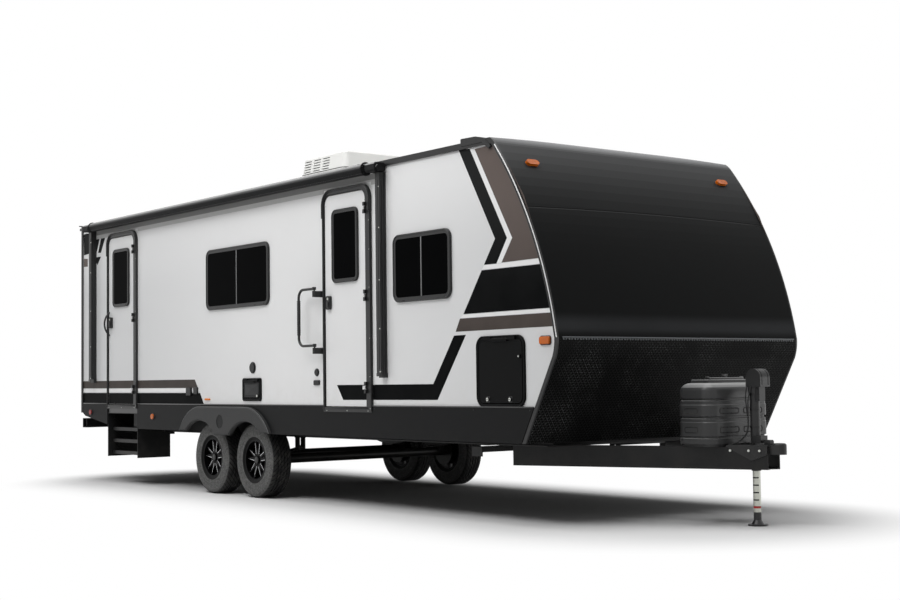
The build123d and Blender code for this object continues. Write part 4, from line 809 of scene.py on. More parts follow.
def onWall(span, y, inset):
    # the corners of a span, drawn in by inset
    x0, x1, z0, z1 = insetSpan(span, inset)
    return [(x0, y, z0), (x1, y, z0), (x1, y, z1), (x0, y, z1)]


def sideways(side, near, far):
    # the two y of a piece on one side, the lower first
    return sorted((side * near, side * far))


# where things stand, in metres; "behind" is aft of the nose line
bodyShape = {"nose": 3.456, "halfWidth": 1.219, "ends": (-4.25, 3.5), "heights": (0.5, 2.9)}
doorCentres = {"front_door": 2.519, "rear_door": 6.663}


def fx(behind):
    return bodyShape["nose"] - behind


wallY = bodyShape["halfWidth"]
sides = ((-1, "Near"), (1, "Far"))

# side graphics: shapes of vinyl on the side walls and doors, as (behind, z)
graphics = {
    "chevron": ("black", [
        (1.055, 2.687), (0.925, 2.676), (0.522, 1.998), (0.641, 1.826), (0.780, 1.827),
        (0.652, 2.002),
    ]),
    "chevronLine": ("white", [
        (0.921, 2.676), (0.872, 2.668), (0.468, 1.994), (0.588, 1.829), (0.637, 1.826),
        (0.518, 1.998),
    ]),
    "capPanel": ("taupe", [
        (0.868, 2.667), (0.636, 2.672), (0.48, 2.49), (0.33, 2.27), (0.25, 2.08),
        (0.17, 1.86), (0.168, 1.832), (0.584, 1.829), (0.464, 1.993),
    ]),
    "capPanelLine": ("white", [(0.780, 1.822), (0.166, 1.828), (0.154, 1.794), (0.804, 1.794)]),
    "capBlock": ("black", [
        (0.807, 1.790), (0.150, 1.790), (0.09, 1.63), (0.05, 1.489), (1.023, 1.487),
    ]),
    "capBlockLine": ("white", [(1.026, 1.483), (0.05, 1.485), (0.046, 1.461), (1.060, 1.461)]),
    "capBand": ("taupe", [(1.064, 1.457), (0.045, 1.457), (0.02, 1.364), (1.118, 1.363)]),
    "sweep": ("black", [
        (1.138, 1.336), (0.997, 1.338), (1.344, 0.869), (2.590, 0.867), (2.681, 0.987),
        (1.395, 0.986),
    ]),
    "tailBand": ("taupe", [(7.655, 1.057), (5.116, 1.053), (5.054, 0.974), (7.655, 0.980)]),
    "tailLine": ("white", [(7.655, 0.972), (5.050, 0.968), (5.030, 0.940), (7.655, 0.940)]),
    "tailFloor": ("black", [(7.655, 0.932), (5.012, 0.927), (4.930, 0.810), (7.654, 0.810)]),
    "tailTop": ("black", [(7.635, 2.640), (7.189, 2.640), (7.297, 2.429), (7.627, 2.412)]),
    "tailTopLine": ("white", [(7.184, 2.640), (7.158, 2.640), (7.272, 2.414), (7.294, 2.427)]),
    "tailTopBand": ("black", [(7.154, 2.640), (7.040, 2.636), (7.196, 2.406), (7.268, 2.412)]),
    "tailBlock": ("taupe", [(7.627, 2.374), (7.531, 2.367), (7.530, 2.284), (7.627, 2.287)]),
    "tailPoint": ("black", [(7.355, 2.367), (7.196, 2.367), (7.282, 2.282)]),
}
vinylThick = 0.0006
vinyls = {
    "black": vinyl("vinylBlack", (0.0022, 0.0026, 0.0028), (0.020, 0.0202, 0.0205), 0.3, 0.01, 1.5),
    "taupe": vinyl("vinylTaupe", (0.030, 0.0255, 0.022), (0.128, 0.104, 0.095), 0.32, 0.06),
    "white": vinyl("vinylWhite", (0.80, 0.80, 0.80), (0.84, 0.84, 0.84), 0.3, 0.4),
}
vinylSlots = {"black": "black_trim", "taupe": "black_trim", "white": "body_white"}
# the vinyl on a door stops short of the leaf's edges, and further from its hinges
leafLook = {"face": -1.225, "edge": 0.002, "hingeEdge": 0.022, "frameHalf": 0.345}
leafBoxes, frameEdges = {}, {}
for name, centre in doorCentres.items():
    low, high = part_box(name)
    edge, hingeEdge = leafLook["edge"], leafLook["hingeEdge"]
    leafBoxes[name] = (low.x + edge, high.x - hingeEdge, low.z + edge, high.z - edge)
    frameEdges[name] = (fx(centre + leafLook["frameHalf"]), fx(centre - leafLook["frameHalf"]))


def wallSpans(side):
    # the wall keeps what lies between the door frames
    tail, nose = bodyShape["ends"]
    if side > 0:
        return [(tail, nose)]
    rear, front = frameEdges["rear_door"], frameEdges["front_door"]
    return [(tail, rear[0]), (rear[1], front[0]), (front[1], nose)]


def layGraphics(colour):
    rows = [row[1] for row in graphics.values() if row[0] == colour]
    shapes = [[(fx(behind), z) for behind, z in row] for row in rows]
    film, slotName, title = vinyls[colour], vinylSlots[colour], colour.title()
    for side, sideName in sides:
        form = bmesh.new()
        y0, y1 = side * wallY, side * (wallY + vinylThick)
        for corners in shapes:
            for span in wallSpans(side):
                addFlat(form, corners, y0, y1, span + bodyShape["heights"])
        finished(form, f"graphics{title}{sideName}", film, "body", slotName, False)
    for name, keep in leafBoxes.items():
        form = bmesh.new()
        for corners in shapes:
            addFlat(form, corners, leafLook["face"], leafLook["face"] - vinylThick, keep)
        if form.faces:
            finished(form, f"{name}Graphics{title}", film, name, slotName, False)
        else:
            form.free()


for colour in vinyls:
    layGraphics(colour)
print("side graphics laid")

# cap edge: a white line beside the black moulding, and the beaded joint above the tread plate
capEdge = {
    "nose": (0.0, 1.290), "middle": (0.222, 2.020), "shoulder": (0.620, 2.672), "steps": 12,
    "inset": 0.007, "lineRadius": 0.0052, "lineOut": 1.2322,
    "mouldingInset": 0.022, "mouldingRadius": 0.0065,
    "beadEnd": 1.19, "beadRadius": 0.0055, "beadBehind": -0.001,
    "lugCount": 92, "lug": (0.005, 0.0115, 0.0075), "lugZ": 1.280, "lugLean": 0.7,
    "lugBehind": 0.0006,
}


def arcLine(first, middle, last, steps, inset):
    # points on the circle through three places, drawn in by inset
    (ax, az), (bx, bz), (cx, cz) = first, middle, last
    d = 2 * (ax * (bz - cz) + bx * (cz - az) + cx * (az - bz))
    sa, sb, sc = ax * ax + az * az, bx * bx + bz * bz, cx * cx + cz * cz
    ux = (sa * (bz - cz) + sb * (cz - az) + sc * (az - bz)) / d
    uz = (sa * (cx - bx) + sb * (ax - cx) + sc * (bx - ax)) / d
    radius = math.hypot(ux - ax, uz - az) - inset
    start, end = math.atan2(az - uz, ax - ux), math.atan2(cz - uz, cx - ux)
    if start < 0:
        start += 2 * math.pi
    if end < 0:
        end += 2 * math.pi
    turns = [start + (end - start) * i / steps for i in range(steps + 1)]
    return [(ux + radius * math.cos(t), uz + radius * math.sin(t)) for t in turns]


def makeCapEdge(edge):
    rows = [
        ("capEdgeLine", edge["inset"], edge["lineRadius"], vinyls["white"], "body_white"),
        ("capEdgeMoulding", edge["mouldingInset"], edge["mouldingRadius"], "black_trim", None),
    ]
    for name, inset, radius, finish, slotName in rows:
        arc = arcLine(edge["nose"], edge["middle"], edge["shoulder"], edge["steps"], inset)
        out = edge["lineOut"]
        lines = [[(fx(behind), side * out, z) for behind, z in arc] for side, _ in sides]
        tube(name, lines, radius, finish, slotName=slotName)
    end, form = edge["beadEnd"], bmesh.new()
    x, z = fx(edge["beadBehind"]), edge["nose"][1]
    addRod(form, (x, -end, z), (x, end, z), edge["beadRadius"], 12)
    for i in range(edge["lugCount"]):
        y = -end + 2 * end * (i + 0.5) / edge["lugCount"]
        fresh = bmesh.new()
        bmesh.ops.create_icosphere(fresh, subdivisions=1, radius=1.0)
        bmesh.ops.scale(fresh, vec=edge["lug"], verts=fresh.verts)
        # every other lug leans the other way
        lean = Matrix.Rotation(edge["lugLean"] if i % 2 else -edge["lugLean"], 4, "X")
        place = Matrix.Translation((fx(edge["lugBehind"]), y, edge["lugZ"]))
        joined(form, fresh, place @ lean)
    # the bead and its lugs are painted a pale bluish grey, a painted highlight on the tread plate's
    # rolled edge
    bright = painted("treadBeadHighlight", (0.05, 0.058, 0.064), 0.3, amount=0.02, level=0.6)
    finished(form, "treadPlateBead", bright, slotName="tread_plate")


makeCapEdge(capEdge)
print("cap edge made")

# windows: side, front edge behind, rear edge behind, foot z, head z
windows = {
    "rows": [
        (-1, 3.736, 4.865, 1.687, 2.245), (-1, 1.151, 1.876, 1.610, 2.128),
        (1, 1.151, 1.876, 1.610, 2.128), (1, 3.300, 4.700, 1.687, 2.245),
        (1, 6.250, 6.900, 1.687, 2.128),
    ],
    "corner": 0.070, "frame": 0.034, "face": 1.233, "beadOut": 0.0075, "beadRadius": 0.0068,
    "gasketY": 1.2305, "gasketRadius": 0.0032, "sashWidth": 0.011, "sashY": (1.2306, 1.2326),
    "drainHalf": 0.016, "drainY": 1.2385, "drainProud": 0.0012, "drainZ": (0.0085, 0.0135),
    "drainShares": (0.2, 0.8),
}


def makeWindows(look):
    outer, inner = [], []
    bars, drains = bmesh.new(), bmesh.new()
    for side, front, rear, foot, head in look["rows"]:
        span = (fx(rear), fx(front), foot, head)
        y = side * (look["face"] - 0.0012)
        outer.append((onWall(span, y, look["beadOut"]), look["corner"] - look["beadOut"], True))
        inset = look["frame"] - 0.001
        inner.append((onWall(span, side * look["gasketY"], inset), look["corner"] - inset, True))
        # the bar between the two panes
        x = (span[0] + span[1]) / 2
        half = look["sashWidth"] / 2
        clear = look["frame"] + 0.001
        y0, y1 = sideways(side, *look["sashY"])
        addBox(bars, (x - half, y0, foot + clear), (x + half, y1, head - clear), 0.0008)
        for share in look["drainShares"]:
            at = span[0] + (span[1] - span[0]) * share
            y0 = side * look["drainY"]
            y1 = y0 + side * look["drainProud"]
            z0, z1 = (foot + rise for rise in look["drainZ"])
            addBox(drains, (at - look["drainHalf"], y0, z0), (at + look["drainHalf"], y1, z1))
    beading("windowOuterBeads", outer, look["beadRadius"], "black_trim")
    rubber = painted("gasketRubber", (0.018, 0.0183, 0.0188), 0.5, amount=0.04, level=0.3)
    beading("windowGaskets", inner, look["gasketRadius"], rubber, slotName="black_trim")
    grey = painted("sashGrey", (0.17, 0.172, 0.175), 0.35, amount=0.03, level=0.4)
    finished(bars, "windowSashBars", grey, slotName="black_trim")
    finished(drains, "windowDrainSlots", "tyre", slotName="black_trim")
    return rubber


gasket = makeWindows(windows)
print("window beads and gaskets made")

# entry doors: glass, gasket, ring, latch, key cylinder, frame bead, screws and sill strip
entryDoor = {
    "glassHalf": 0.158, "glassFoot": 1.841, "glassHead": 2.378, "glassCorner": 0.025,
    "glassY": -1.2346, "gasketRadius": 0.0032, "middleShift": 0.018,
    "ringGrow": 0.030, "ringY": -1.2376, "ringOut": 0.0075, "ringCorner": 0.047,
    "ringRadius": 0.0062,
    "latchX": (0.059, 0.119), "latchZ": (1.600, 1.712), "latchY": -1.247,
    "keyDrop": 0.024, "keyRadius": 0.0105,
    "leafScrewZ": (0.95, 2.45), "leafScrewIn": (0.012, 0.002),
    # the frame's bead lies deeper below the step in the frame than above it
    "frameBead": 0.0058, "frameFoot": 0.775, "frameStep": 2.352, "frameHead": 2.577,
    "beadIn": (0.0055, 0.0065), "lowBeadY": -1.2368, "highBeadY": -1.2455, "beadInset": 0.006,
    "frameCorner": 0.12, "frameFace": -1.237, "jambScrewZ": (0.80, 1.05, 1.35, 1.75, 2.05, 2.28),
    "jambScrewIn": 0.011, "footScrewZ": 0.782,
    "sillY": -1.2422, "sillZ": (0.796, 0.809), "sillIn": (0.03, 0.05),
}


def makeDoor(name, centre, look):
    middle, half = fx(centre + look["middleShift"]), look["glassHalf"]
    span = (middle - half, middle + half, look["glassFoot"], look["glassHead"])
    form = bmesh.new()
    addPlate(form, span, look["glassCorner"], look["glassY"] + 0.0003, look["glassY"])
    finished(form, name + "Glass", "dark_glass", name)
    loops = [(onWall(span, look["glassY"], -0.001), look["glassCorner"], True)]
    beading(name + "GlassGasket", loops, look["gasketRadius"], gasket, name, "black_trim")
    grow = look["ringGrow"]
    ring = (span[0] - grow, span[1] + grow, span[2] - grow, span[3] + grow)
    loops = [(onWall(ring, look["ringY"], look["ringOut"]), look["ringCorner"], True)]
    beading(name + "GlassRing", loops, look["ringRadius"], "black_trim", name)
    # latch paddle in its tray
    edge = frameEdges[name]
    left, right = (edge[0] + x for x in look["latchX"])
    foot, head = look["latchZ"]
    y = look["latchY"]
    form = bmesh.new()
    tray = insetSpan((left, right, foot, head), 0.003)
    paddle = (left + 0.014, right - 0.014, foot + 0.018, foot + 0.068)
    addPlate(form, tray, 0.013, y, y - 0.0025, 0.006, 0.001)
    addPlate(form, paddle, 0.006, y, y - 0.007, bevel=0.003)
    finished(form, name + "Paddle", "handle_black", name)
    # key cylinder with its slot above the paddle, and screws in the leaf's edge
    form = bmesh.new()
    x, z = (left + right) / 2, head - look["keyDrop"]
    addRod(form, (x, y, z), (x, y - 0.0045, z), look["keyRadius"], 24, bevel=0.001)
    addBox(form, (x - 0.0012, y - 0.0052, z - 0.006), (x + 0.0012, y - 0.004, z + 0.006))
    leaf, (inLeft, inRight) = leafBoxes[name], look["leafScrewIn"]
    for z in look["leafScrewZ"]:
        for x in (leaf[0] + inLeft, leaf[1] - inRight):
            addScrew(form, (x, leafLook["face"], z), (0, -1, 0), 0.004, 0.002)
    finished(form, name + "KeyCylinder", "zinc", name)
    # rounded bead round the frame on the wall
    left, right = edge[0] + look["beadIn"][0], edge[1] - look["beadIn"][1]
    foot, step, head = look["frameFoot"] + look["beadInset"], look["frameStep"], look["frameHead"]
    head, low, high = head - look["beadInset"], look["lowBeadY"], look["highBeadY"]
    hoop = [(left, high, step), (left, high, head), (right, high, head), (right, high, step)]
    loops = [
        ([(left, low, foot), (left, low, step)], 0.0, False),
        ([(right, low, step), (right, low, foot)], 0.0, False),
        (hoop, look["frameCorner"] - look["beadInset"], False),
    ]
    beading(name + "FrameBead", loops, look["frameBead"], "black_trim")
    # screws up the front jamb and along the foot of the frame
    spots = [(right - look["jambScrewIn"], z) for z in look["jambScrewZ"]]
    for x in (edge[0] + 0.05, edge[0] + leafLook["frameHalf"], edge[1] - 0.05):
        spots.append((x, look["footScrewZ"]))
    form = bmesh.new()
    for x, z in spots:
        addScrew(form, (x, look["frameFace"], z), (0, -1, 0), 0.0042, 0.0025)
    finished(form, name + "FrameScrews", "zinc")
    form = bmesh.new()
    left, right = edge[0] + look["sillIn"][0], edge[1] - look["sillIn"][1]
    foot, head = look["sillZ"]
    addBox(form, (left, look["sillY"], foot), (right, look["frameFace"], head), 0.002)
    finished(form, name + "SillStrip", "step_metal")


for name, centre in doorCentres.items():
    makeDoor(name, centre, entryDoor)
print("entry doors dressed")

# grab handle: a ribbed foam sleeve, and the bolts of its two brackets
grabGrip = {
    "x": 0.326, "y": -1.303, "foot": 1.40, "head": 1.69, "radius": 0.0148, "ribs": 17,
    "bracketBehind": 2.890, "bracketFace": -1.2195, "bracketFeet": (1.243, 1.708),
    "boltRises": (0.012, 0.038), "boltHalf": 0.009,
}


def makeGrabGrip(look):
    form = bmesh.new()
    x, y = look["x"], look["y"]
    foot, head, radius = look["foot"], look["head"], look["radius"]
    addRod(form, (x, y, foot), (x, y, head), radius - 0.0013, 24, bevel=0.0015)
    step = (head - foot) / look["ribs"]
    for i in range(look["ribs"]):
        z = foot + step * (i + 0.5)
        addRod(form, (x, y, z - step * 0.36), (x, y, z + step * 0.36), radius, 20, bevel=0.0012)
    finished(form, "grabHandleSleeve", gasket, "grab_handle", "handle_black")
    form = bmesh.new()
    x = fx(look["bracketBehind"])
    for foot in look["bracketFeet"]:
        for rise in look["boltRises"]:
            for dx in (-look["boltHalf"], look["boltHalf"]):
                spot = (x + dx, look["bracketFace"], foot + rise)
                addScrew(form, spot, (0, -1, 0), 0.004, 0.002)
    finished(form, "grabHandleBolts", "zinc")


makeGrabGrip(grabGrip)
print("grab handle dressed")

# hatches: front edge behind, rear edge behind, foot z, head z, and their latches
hatchLook = {
    "baggage": (0.341, 0.872, 0.821, 1.320), "baggageCorner": 0.075,
    "service": (3.881, 4.205, 0.854, 1.056), "serviceCorner": 0.024,
    "frame": 0.022, "gap": 0.0055, "face": 1.229, "proud": 1.2318, "edgeY": 1.2278,
    "leafEdgeRadius": 0.0036, "frameEdgeInset": 0.006, "frameEdgeRadius": 0.0055,
    "latches": [(0.495, 0.874), (0.740, 0.874)], "trayHalf": 0.021, "latchRadius": 0.0125,
    "latchY": (1.2378, 1.2418), "slotY": (1.2418, 1.2436), "slotHalf": (0.009, 0.0018),
    "lock": (0.394, 1.171), "lockRadius": 0.012, "lockY": (1.2378, 1.2412),
    "keyRadius": 0.0055, "keyY": (1.241, 1.2424),
    "serviceLock": (3.935, 0.900), "serviceLockRadius": 0.0115, "serviceLockY": (1.2378, 1.2414),
    "serviceEdgeY": 1.228, "serviceEdgeInset": 0.0055, "serviceEdgeRadius": 0.005,
    "fieldProud": 1.2306, "fieldRise": 0.0075,
}


def addKnob(form, side, x, z, span, radius, sides=24, bevel=0.0012):
    # a round piece that stands out from one side
    addRod(form, (x, side * span[0], z), (x, side * span[1], z), radius, sides, bevel=bevel)


def makeBaggageDoors(look):
    front, rear, foot, head = look["baggage"]
    span = (fx(rear), fx(front), foot, head)
    corner, inset = look["baggageCorner"], look["frameEdgeInset"]
    leaf = look["frame"] + look["gap"]
    loops = []
    for side, sideName in sides:
        body = "baggage_door_" + sideName.lower()
        y = side * look["edgeY"]
        loops.append((onWall(span, y, inset), corner - inset, True))
        # the leaf's rolled edge lies inside the frame, with the gap between them
        loop = [(onWall(span, y, leaf + 0.0035), corner - leaf - 0.0035, True)]
        beading(f"baggageLeafEdge{sideName}", loop, look["leafEdgeRadius"], "hatch_black", body)
        form, bright = bmesh.new(), bmesh.new()
        half, (wide, high) = look["trayHalf"], look["slotHalf"]
        y0, y1 = sideways(side, *look["slotY"])
        for behind, z in look["latches"]:
            x = fx(behind)
            tray = (x - half, x + half, z - half, z + half)
            addKnob(bright, side, x, z, look["latchY"], look["latchRadius"])
            addPlate(form, tray, 0.008, side * look["face"], side * look["proud"], bevel=0.001)
            addBox(form, (x - wide, y0, z - high), (x + wide, y1, z + high))
        x, z = fx(look["lock"][0]), look["lock"][1]
        addKnob(form, side, x, z, look["lockY"], look["lockRadius"])
        addKnob(bright, side, x, z, look["keyY"], look["keyRadius"], 16, 0.0)
        finished(form, f"baggageLatchTrays{sideName}", "handle_black", body)
        finished(bright, f"baggageLatches{sideName}", "zinc", body)
    beading("baggageFrameEdges", loops, look["frameEdgeRadius"], "hatch_black")


def makeServiceHatch(look):
    front, rear, foot, head = look["service"]
    frameSpan = (fx(rear), fx(front), foot, head)
    span = insetSpan(frameSpan, look["frame"] + look["gap"])
    form = bmesh.new()
    rim = (span[0] + 0.009, span[1] - 0.009, span[2] + 0.009, span[3] - 0.013)
    addPlate(form, rim, 0.004, -look["face"], -look["proud"], 0.007, 0.0012)
    # raised field that falls away in four facets from its middle
    field = insetSpan(rim, 0.012)
    addPlate(form, field, 0.0, -look["face"], -look["fieldProud"], poke=-look["fieldRise"])
    panel = "serviceHatchPanel"
    finished(form, panel, "fender_plastic", "service_hatch", "hatch_black", smooth=False)
    form = bmesh.new()
    x, z = fx(look["serviceLock"][0]), look["serviceLock"][1]
    addKnob(form, -1, x, z, look["serviceLockY"], look["serviceLockRadius"])
    finished(form, "serviceHatchLock", "zinc", "service_hatch")
    inset = look["serviceEdgeInset"]
    corners = onWall(frameSpan, -look["serviceEdgeY"], inset)
    loops = [(corners, look["serviceCorner"] - inset, True)]
    beading("serviceFrameEdge", loops, look["serviceEdgeRadius"], "hatch_black")


makeBaggageDoors(hatchLook)
makeServiceHatch(hatchLook)
print("hatches dressed")

# skirts and fenders: cover strip, screws, rivets and the grille between the wheels
lowTrim = {
    "stripZ": (0.8165, 0.8255), "stripY": (1.2192, 1.2338), "stripBehind": (0.262, 7.61),
    "screwStep": 0.62, "screwIn": 0.03, "screwZ": 0.800, "screwY": 1.231, "screwFree": 0.5,
    "fenderMiddle": 4.533, "fenderY": 1.269,
    "grille": (4.553, 0.668, 0.058), "barSide": 6, "barPitch": 0.0084, "barHalf": 0.0014,
    "grilleDepth": 0.008, "discProud": 0.0012, "barProud": 0.0055, "barClear": 0.003,
    "edge": [(0.448, 0.802), (0.656, 0.740), (0.826, 0.577)], "edgeSteps": 14,
    "edgeY": 1.2575, "edgeDrop": 0.002, "edgeRadius": 0.0032,
    # (from the fender's middle, z) on the outline, and how far from it each rivet is set
    "rivets": [
        (0.44, 0.787), (0.22, 0.790), (0.0, 0.790), (0.60, 0.755), (0.722, 0.679), (0.796, 0.592),
    ],
    "rivetShift": (0.004, 0.0035, 0.010),
}


def makeLowTrim(look):
    strip, screws = bmesh.new(), bmesh.new()
    rivets, grille = bmesh.new(), bmesh.new()
    middle = fx(look["fenderMiddle"])
    arc = arcLine(*look["edge"], look["edgeSteps"], 0.0)
    outline = [(-dx, z) for dx, z in reversed(arc)] + arc
    lines = []
    for side, _ in sides:
        y0, y1 = sideways(side, *look["stripY"])
        for x0, x1 in wallSpans(side):
            x0, x1 = max(x0, fx(look["stripBehind"][1])), min(x1, fx(look["stripBehind"][0]))
            addBox(strip, (x0, y0, look["stripZ"][0]), (x1, y1, look["stripZ"][1]), 0.0015)
            count = max(int((x1 - x0) / look["screwStep"]), 1)
            for i in range(count + 1):
                x = x0 + look["screwIn"] + (x1 - x0 - 2 * look["screwIn"]) * i / count
                # the wheels' part of the wall has no screws
                if abs(x - middle) > look["screwFree"]:
                    spot = (x, side * look["screwY"], look["screwZ"])
                    addScrew(screws, spot, (0, side, 0), 0.0045, 0.0025)
        inward, sunk, down = look["rivetShift"]
        for dx, z in look["rivets"]:
            for s in (-1, 1) if dx else (1,):
                spot = (middle + s * (dx - inward), side * (look["fenderY"] - sunk), z - down)
                addScrew(rivets, spot, (0, side, 0), 0.006, 0.003)
        # a disc with crossed bars, each cut to the round
        behind, z, radius = look["grille"]
        x, face = fx(behind), side * (look["fenderY"] - look["grilleDepth"])
        addRod(grille, (x, face, z), (x, face + side * look["discProud"], z), radius, 40)
        y0, y1 = sorted((face, face + side * look["barProud"]))
        bar = look["barHalf"]
        for i in range(-look["barSide"], look["barSide"] + 1):
            at = i * look["barPitch"]
            half = math.sqrt(max(radius * radius - at * at, 0.0)) - look["barClear"]
            addBox(grille, (x - half, y0, z + at - bar), (x + half, y1, z + at + bar))
            addBox(grille, (x + at - bar, y0, z - half), (x + at + bar, y1, z + half))
        y = side * look["edgeY"]
        lines.append([(middle + dx, y, z - look["edgeDrop"]) for dx, z in outline])
    # a pale grey bead along the outer edge of each fender, a painted highlight on the edge
    lip = painted("fenderLipHighlight", (0.085, 0.086, 0.087), 0.3, amount=0.05, level=0.4)
    tube("fenderEdges", lines, look["edgeRadius"], lip, "body", "fender_plastic", 2, 2)
    grey = painted("skirtCoverStrip", (0.03, 0.0303, 0.031), 0.3, amount=0.05, level=0.6)
    finished(strip, "skirtCoverStrips", grey, slotName="skirt_grey")
    finished(screws, "skirtScrews", "awning_black", slotName="black_trim")
    finished(rivets, "fenderRivets", "fender_plastic")
    finished(grille, "fenderGrilles", "awning_black", slotName="black_trim")


makeLowTrim(lowTrim)
print("skirts and fenders dressed")

# wheels: machined edges along the spokes, the rim's lip, the hub cap and the valve
wheelLook = {
    "centres": {"front": -0.659, "rear": -1.437}, "faceY": 1.1301, "faceProud": 0.0012,
    "spokes": 5, "split": 13.0, "from": 0.060, "to": 0.171, "edge": 0.0036,
    # each edge stands off its bar's middle, and closes in by some millimetres on its way out
    "edgeOff": 0.0125, "closing": (0.006, 0.135), "joinHalf": 0.020, "joinZ": (0.058, 0.061),
    "lip": (0.1885, 1.1535, 0.0036), "lipSteps": 24, "lipBend": 0.02,
    "capY": 1.1402, "capDepth": (0.002, 0.0022), "capRadius": 0.029,
    "valve": (0.152, 1.143, 0.03), "valveLong": 0.018, "valveRadius": 0.0042,
}


def makeWheel(look, side, x, title, body):
    z, hub = wheelPlace["axle"], Matrix.Translation((x, 0, wheelPlace["axle"]))
    face = side * look["faceY"]
    y0, y1 = sorted((face, face + side * look["faceProud"]))
    form = bmesh.new()
    share = 360 / look["spokes"]
    for i in range(look["spokes"]):
        for s in (-1, 1):
            turn = math.radians(share * i + s * look["split"])
            spoke = hub @ Matrix.Rotation(side * turn, 4, "Y")
            lean = math.atan2(-look["closing"][0] * s * side, look["closing"][1])
            shift = Matrix.Translation((s * side * look["edgeOff"], 0, 0))
            place = spoke @ (shift @ Matrix.Rotation(lean, 4, "Y"))
            low = (-look["edge"] / 2, y0, look["from"])
            addBox(form, low, (look["edge"] / 2, y1, look["to"]), place=place)
        # a short bright bar joins the pair at the hub
        turn = Matrix.Rotation(side * math.radians(share * (i + 0.5)), 4, "Y")
        half, (low, high) = look["joinHalf"], look["joinZ"]
        addBox(form, (-half, y0, low), (half, y1, high), place=hub @ turn)
    finished(form, "wheelEdges" + title, machined, body, "rim_alloy")
    radius, out, thick = look["lip"]
    turns = [math.radians(360 // look["lipSteps"] * i) for i in range(look["lipSteps"])]
    lip = [(x + radius * math.cos(t), side * out, z + radius * math.sin(t)) for t in turns]
    beading("wheelLip" + title, [(lip, look["lipBend"], True)], thick, "rim_alloy", body)
    form = bmesh.new()
    cap, (inner, outer) = side * look["capY"], look["capDepth"]
    start, end = (x, cap - side * inner, z), (x, cap + side * outer, z)
    addRod(form, start, end, look["capRadius"], 32, bevel=0.0015)
    dx, out, dz = look["valve"]
    spot = Vector((x + dx, side * out, z + dz))
    addRod(form, spot, spot + Vector((0, side * look["valveLong"], 0)), look["valveRadius"], 10)
    finished(form, "wheelCap" + title, "handle_black", body, "rim_alloy")


def makeWheels(look):
    for side, sideName in sides:
        for row, x in look["centres"].items():
            title, body = sideName + row.title(), f"wheel_{sideName.lower()}_{row}"
            makeWheel(look, side, x, title, body)


makeWheels(wheelLook)
print("wheels dressed")

# awning: two grey strips on the wall below the roller, seams in the cloth, arm screws and feet
awningLook = {
    "bandZ": (2.557, 2.583, 2.597, 2.643), "railY": (1.2193, 1.2226), "from": 2.046, "to": 7.303,
    "bandJoint": 0.0005, "darkProud": 0.0022,
    "rollerY": -1.303, "rollerZ": 2.670, "rollerRadius": 0.046,
    "hemTurns": (-2.35, -0.9, 0.35, 1.5), "hemIn": 0.06, "hemRadius": 0.0016,
    "armBehind": (2.011, 7.338), "armFaceY": -1.279,
    "screws": (1.085, 1.417, 1.794, 2.20, 2.52),
    "screwShift": 0.018, "footHalf": 0.028, "footZ": (1.05, 1.075), "footY": -1.283,
}


def makeAwning(look):
    lightForm, darkForm = bmesh.new(), bmesh.new()
    y0, y1 = -look["railY"][1], -look["railY"][0]
    low, overDoor, split, head = look["bandZ"]
    # the paler strip is in five lengths, and those over the doors start higher
    start, end, joint = fx(look["to"]), fx(look["from"]), look["bandJoint"]
    ends = [start, *frameEdges["rear_door"], *frameEdges["front_door"], end]
    for i, (x0, x1) in enumerate(zip(ends, ends[1:])):
        foot = overDoor if i % 2 else low
        addBox(lightForm, (x0 + joint, y0, foot), (x1 - joint, y1, split))
    addBox(darkForm, (start, y0 - look["darkProud"], split), (end, y1, head), 0.001)
    light = painted("awningWallBandPale", (0.52, 0.52, 0.515), 0.45, amount=0.02, level=0.4)
    dark = painted("awningWallBandGrey", (0.19, 0.19, 0.187), 0.4, amount=0.02, level=0.4)
    finished(lightForm, "awningWallBandPale", light, "body", "awning_black", False)
    finished(darkForm, "awningWallBandGrey", dark, "body", "awning_black", False)
    # hem and cloth edges run along the roll
    lines = []
    x0, x1 = fx(look["from"] + look["hemIn"]), fx(look["to"] - look["hemIn"])
    for turn in look["hemTurns"]:
        y = look["rollerY"] - look["rollerRadius"] * math.cos(turn)
        z = look["rollerZ"] + look["rollerRadius"] * math.sin(turn)
        lines.append([(x0, y, z), (0.0, y, z), (x1, y, z)])
    tube("awningClothEdges", lines, look["hemRadius"], "awning_black", sides=1)
    form, caps = bmesh.new(), bmesh.new()
    face, half = look["armFaceY"], look["footHalf"]
    for behind in look["armBehind"]:
        x = fx(behind)
        for z in look["screws"]:
            addScrew(form, (x + look["screwShift"], face, z), (0, -1, 0), 0.0055, 0.003)
        foot = (x - half, x + half, *look["footZ"])
        addPlate(caps, foot, 0.004, face, look["footY"], bevel=0.001)
    finished(form, "awningArmScrews", "zinc")
    finished(caps, "awningArmFeet", "black_trim")


makeAwning(awningLook)
print("awning dressed")

# lamps: black bases under the lenses, rims round the tail lamps and their reverse lenses
lampLook = {
    "skirt": [(5.965, 0.698), (7.417, 0.728)], "radius": 0.026, "baseGrow": 0.007, "baseY": 1.231,
    "nose": (0.132, 1.272, 0.104, 0.052), "noseGrow": 0.006, "baseProud": 0.004,
    "tail": [(-1.080, 1.250), (1.080, 1.250)], "rimHalf": (0.052, 0.137), "rearX": -4.210,
    "rimProud": 0.008, "reverseHalf": 0.030, "reverseDrop": (0.105, 0.040),
    "lensX": -4.238, "lensProud": 0.0015,
}

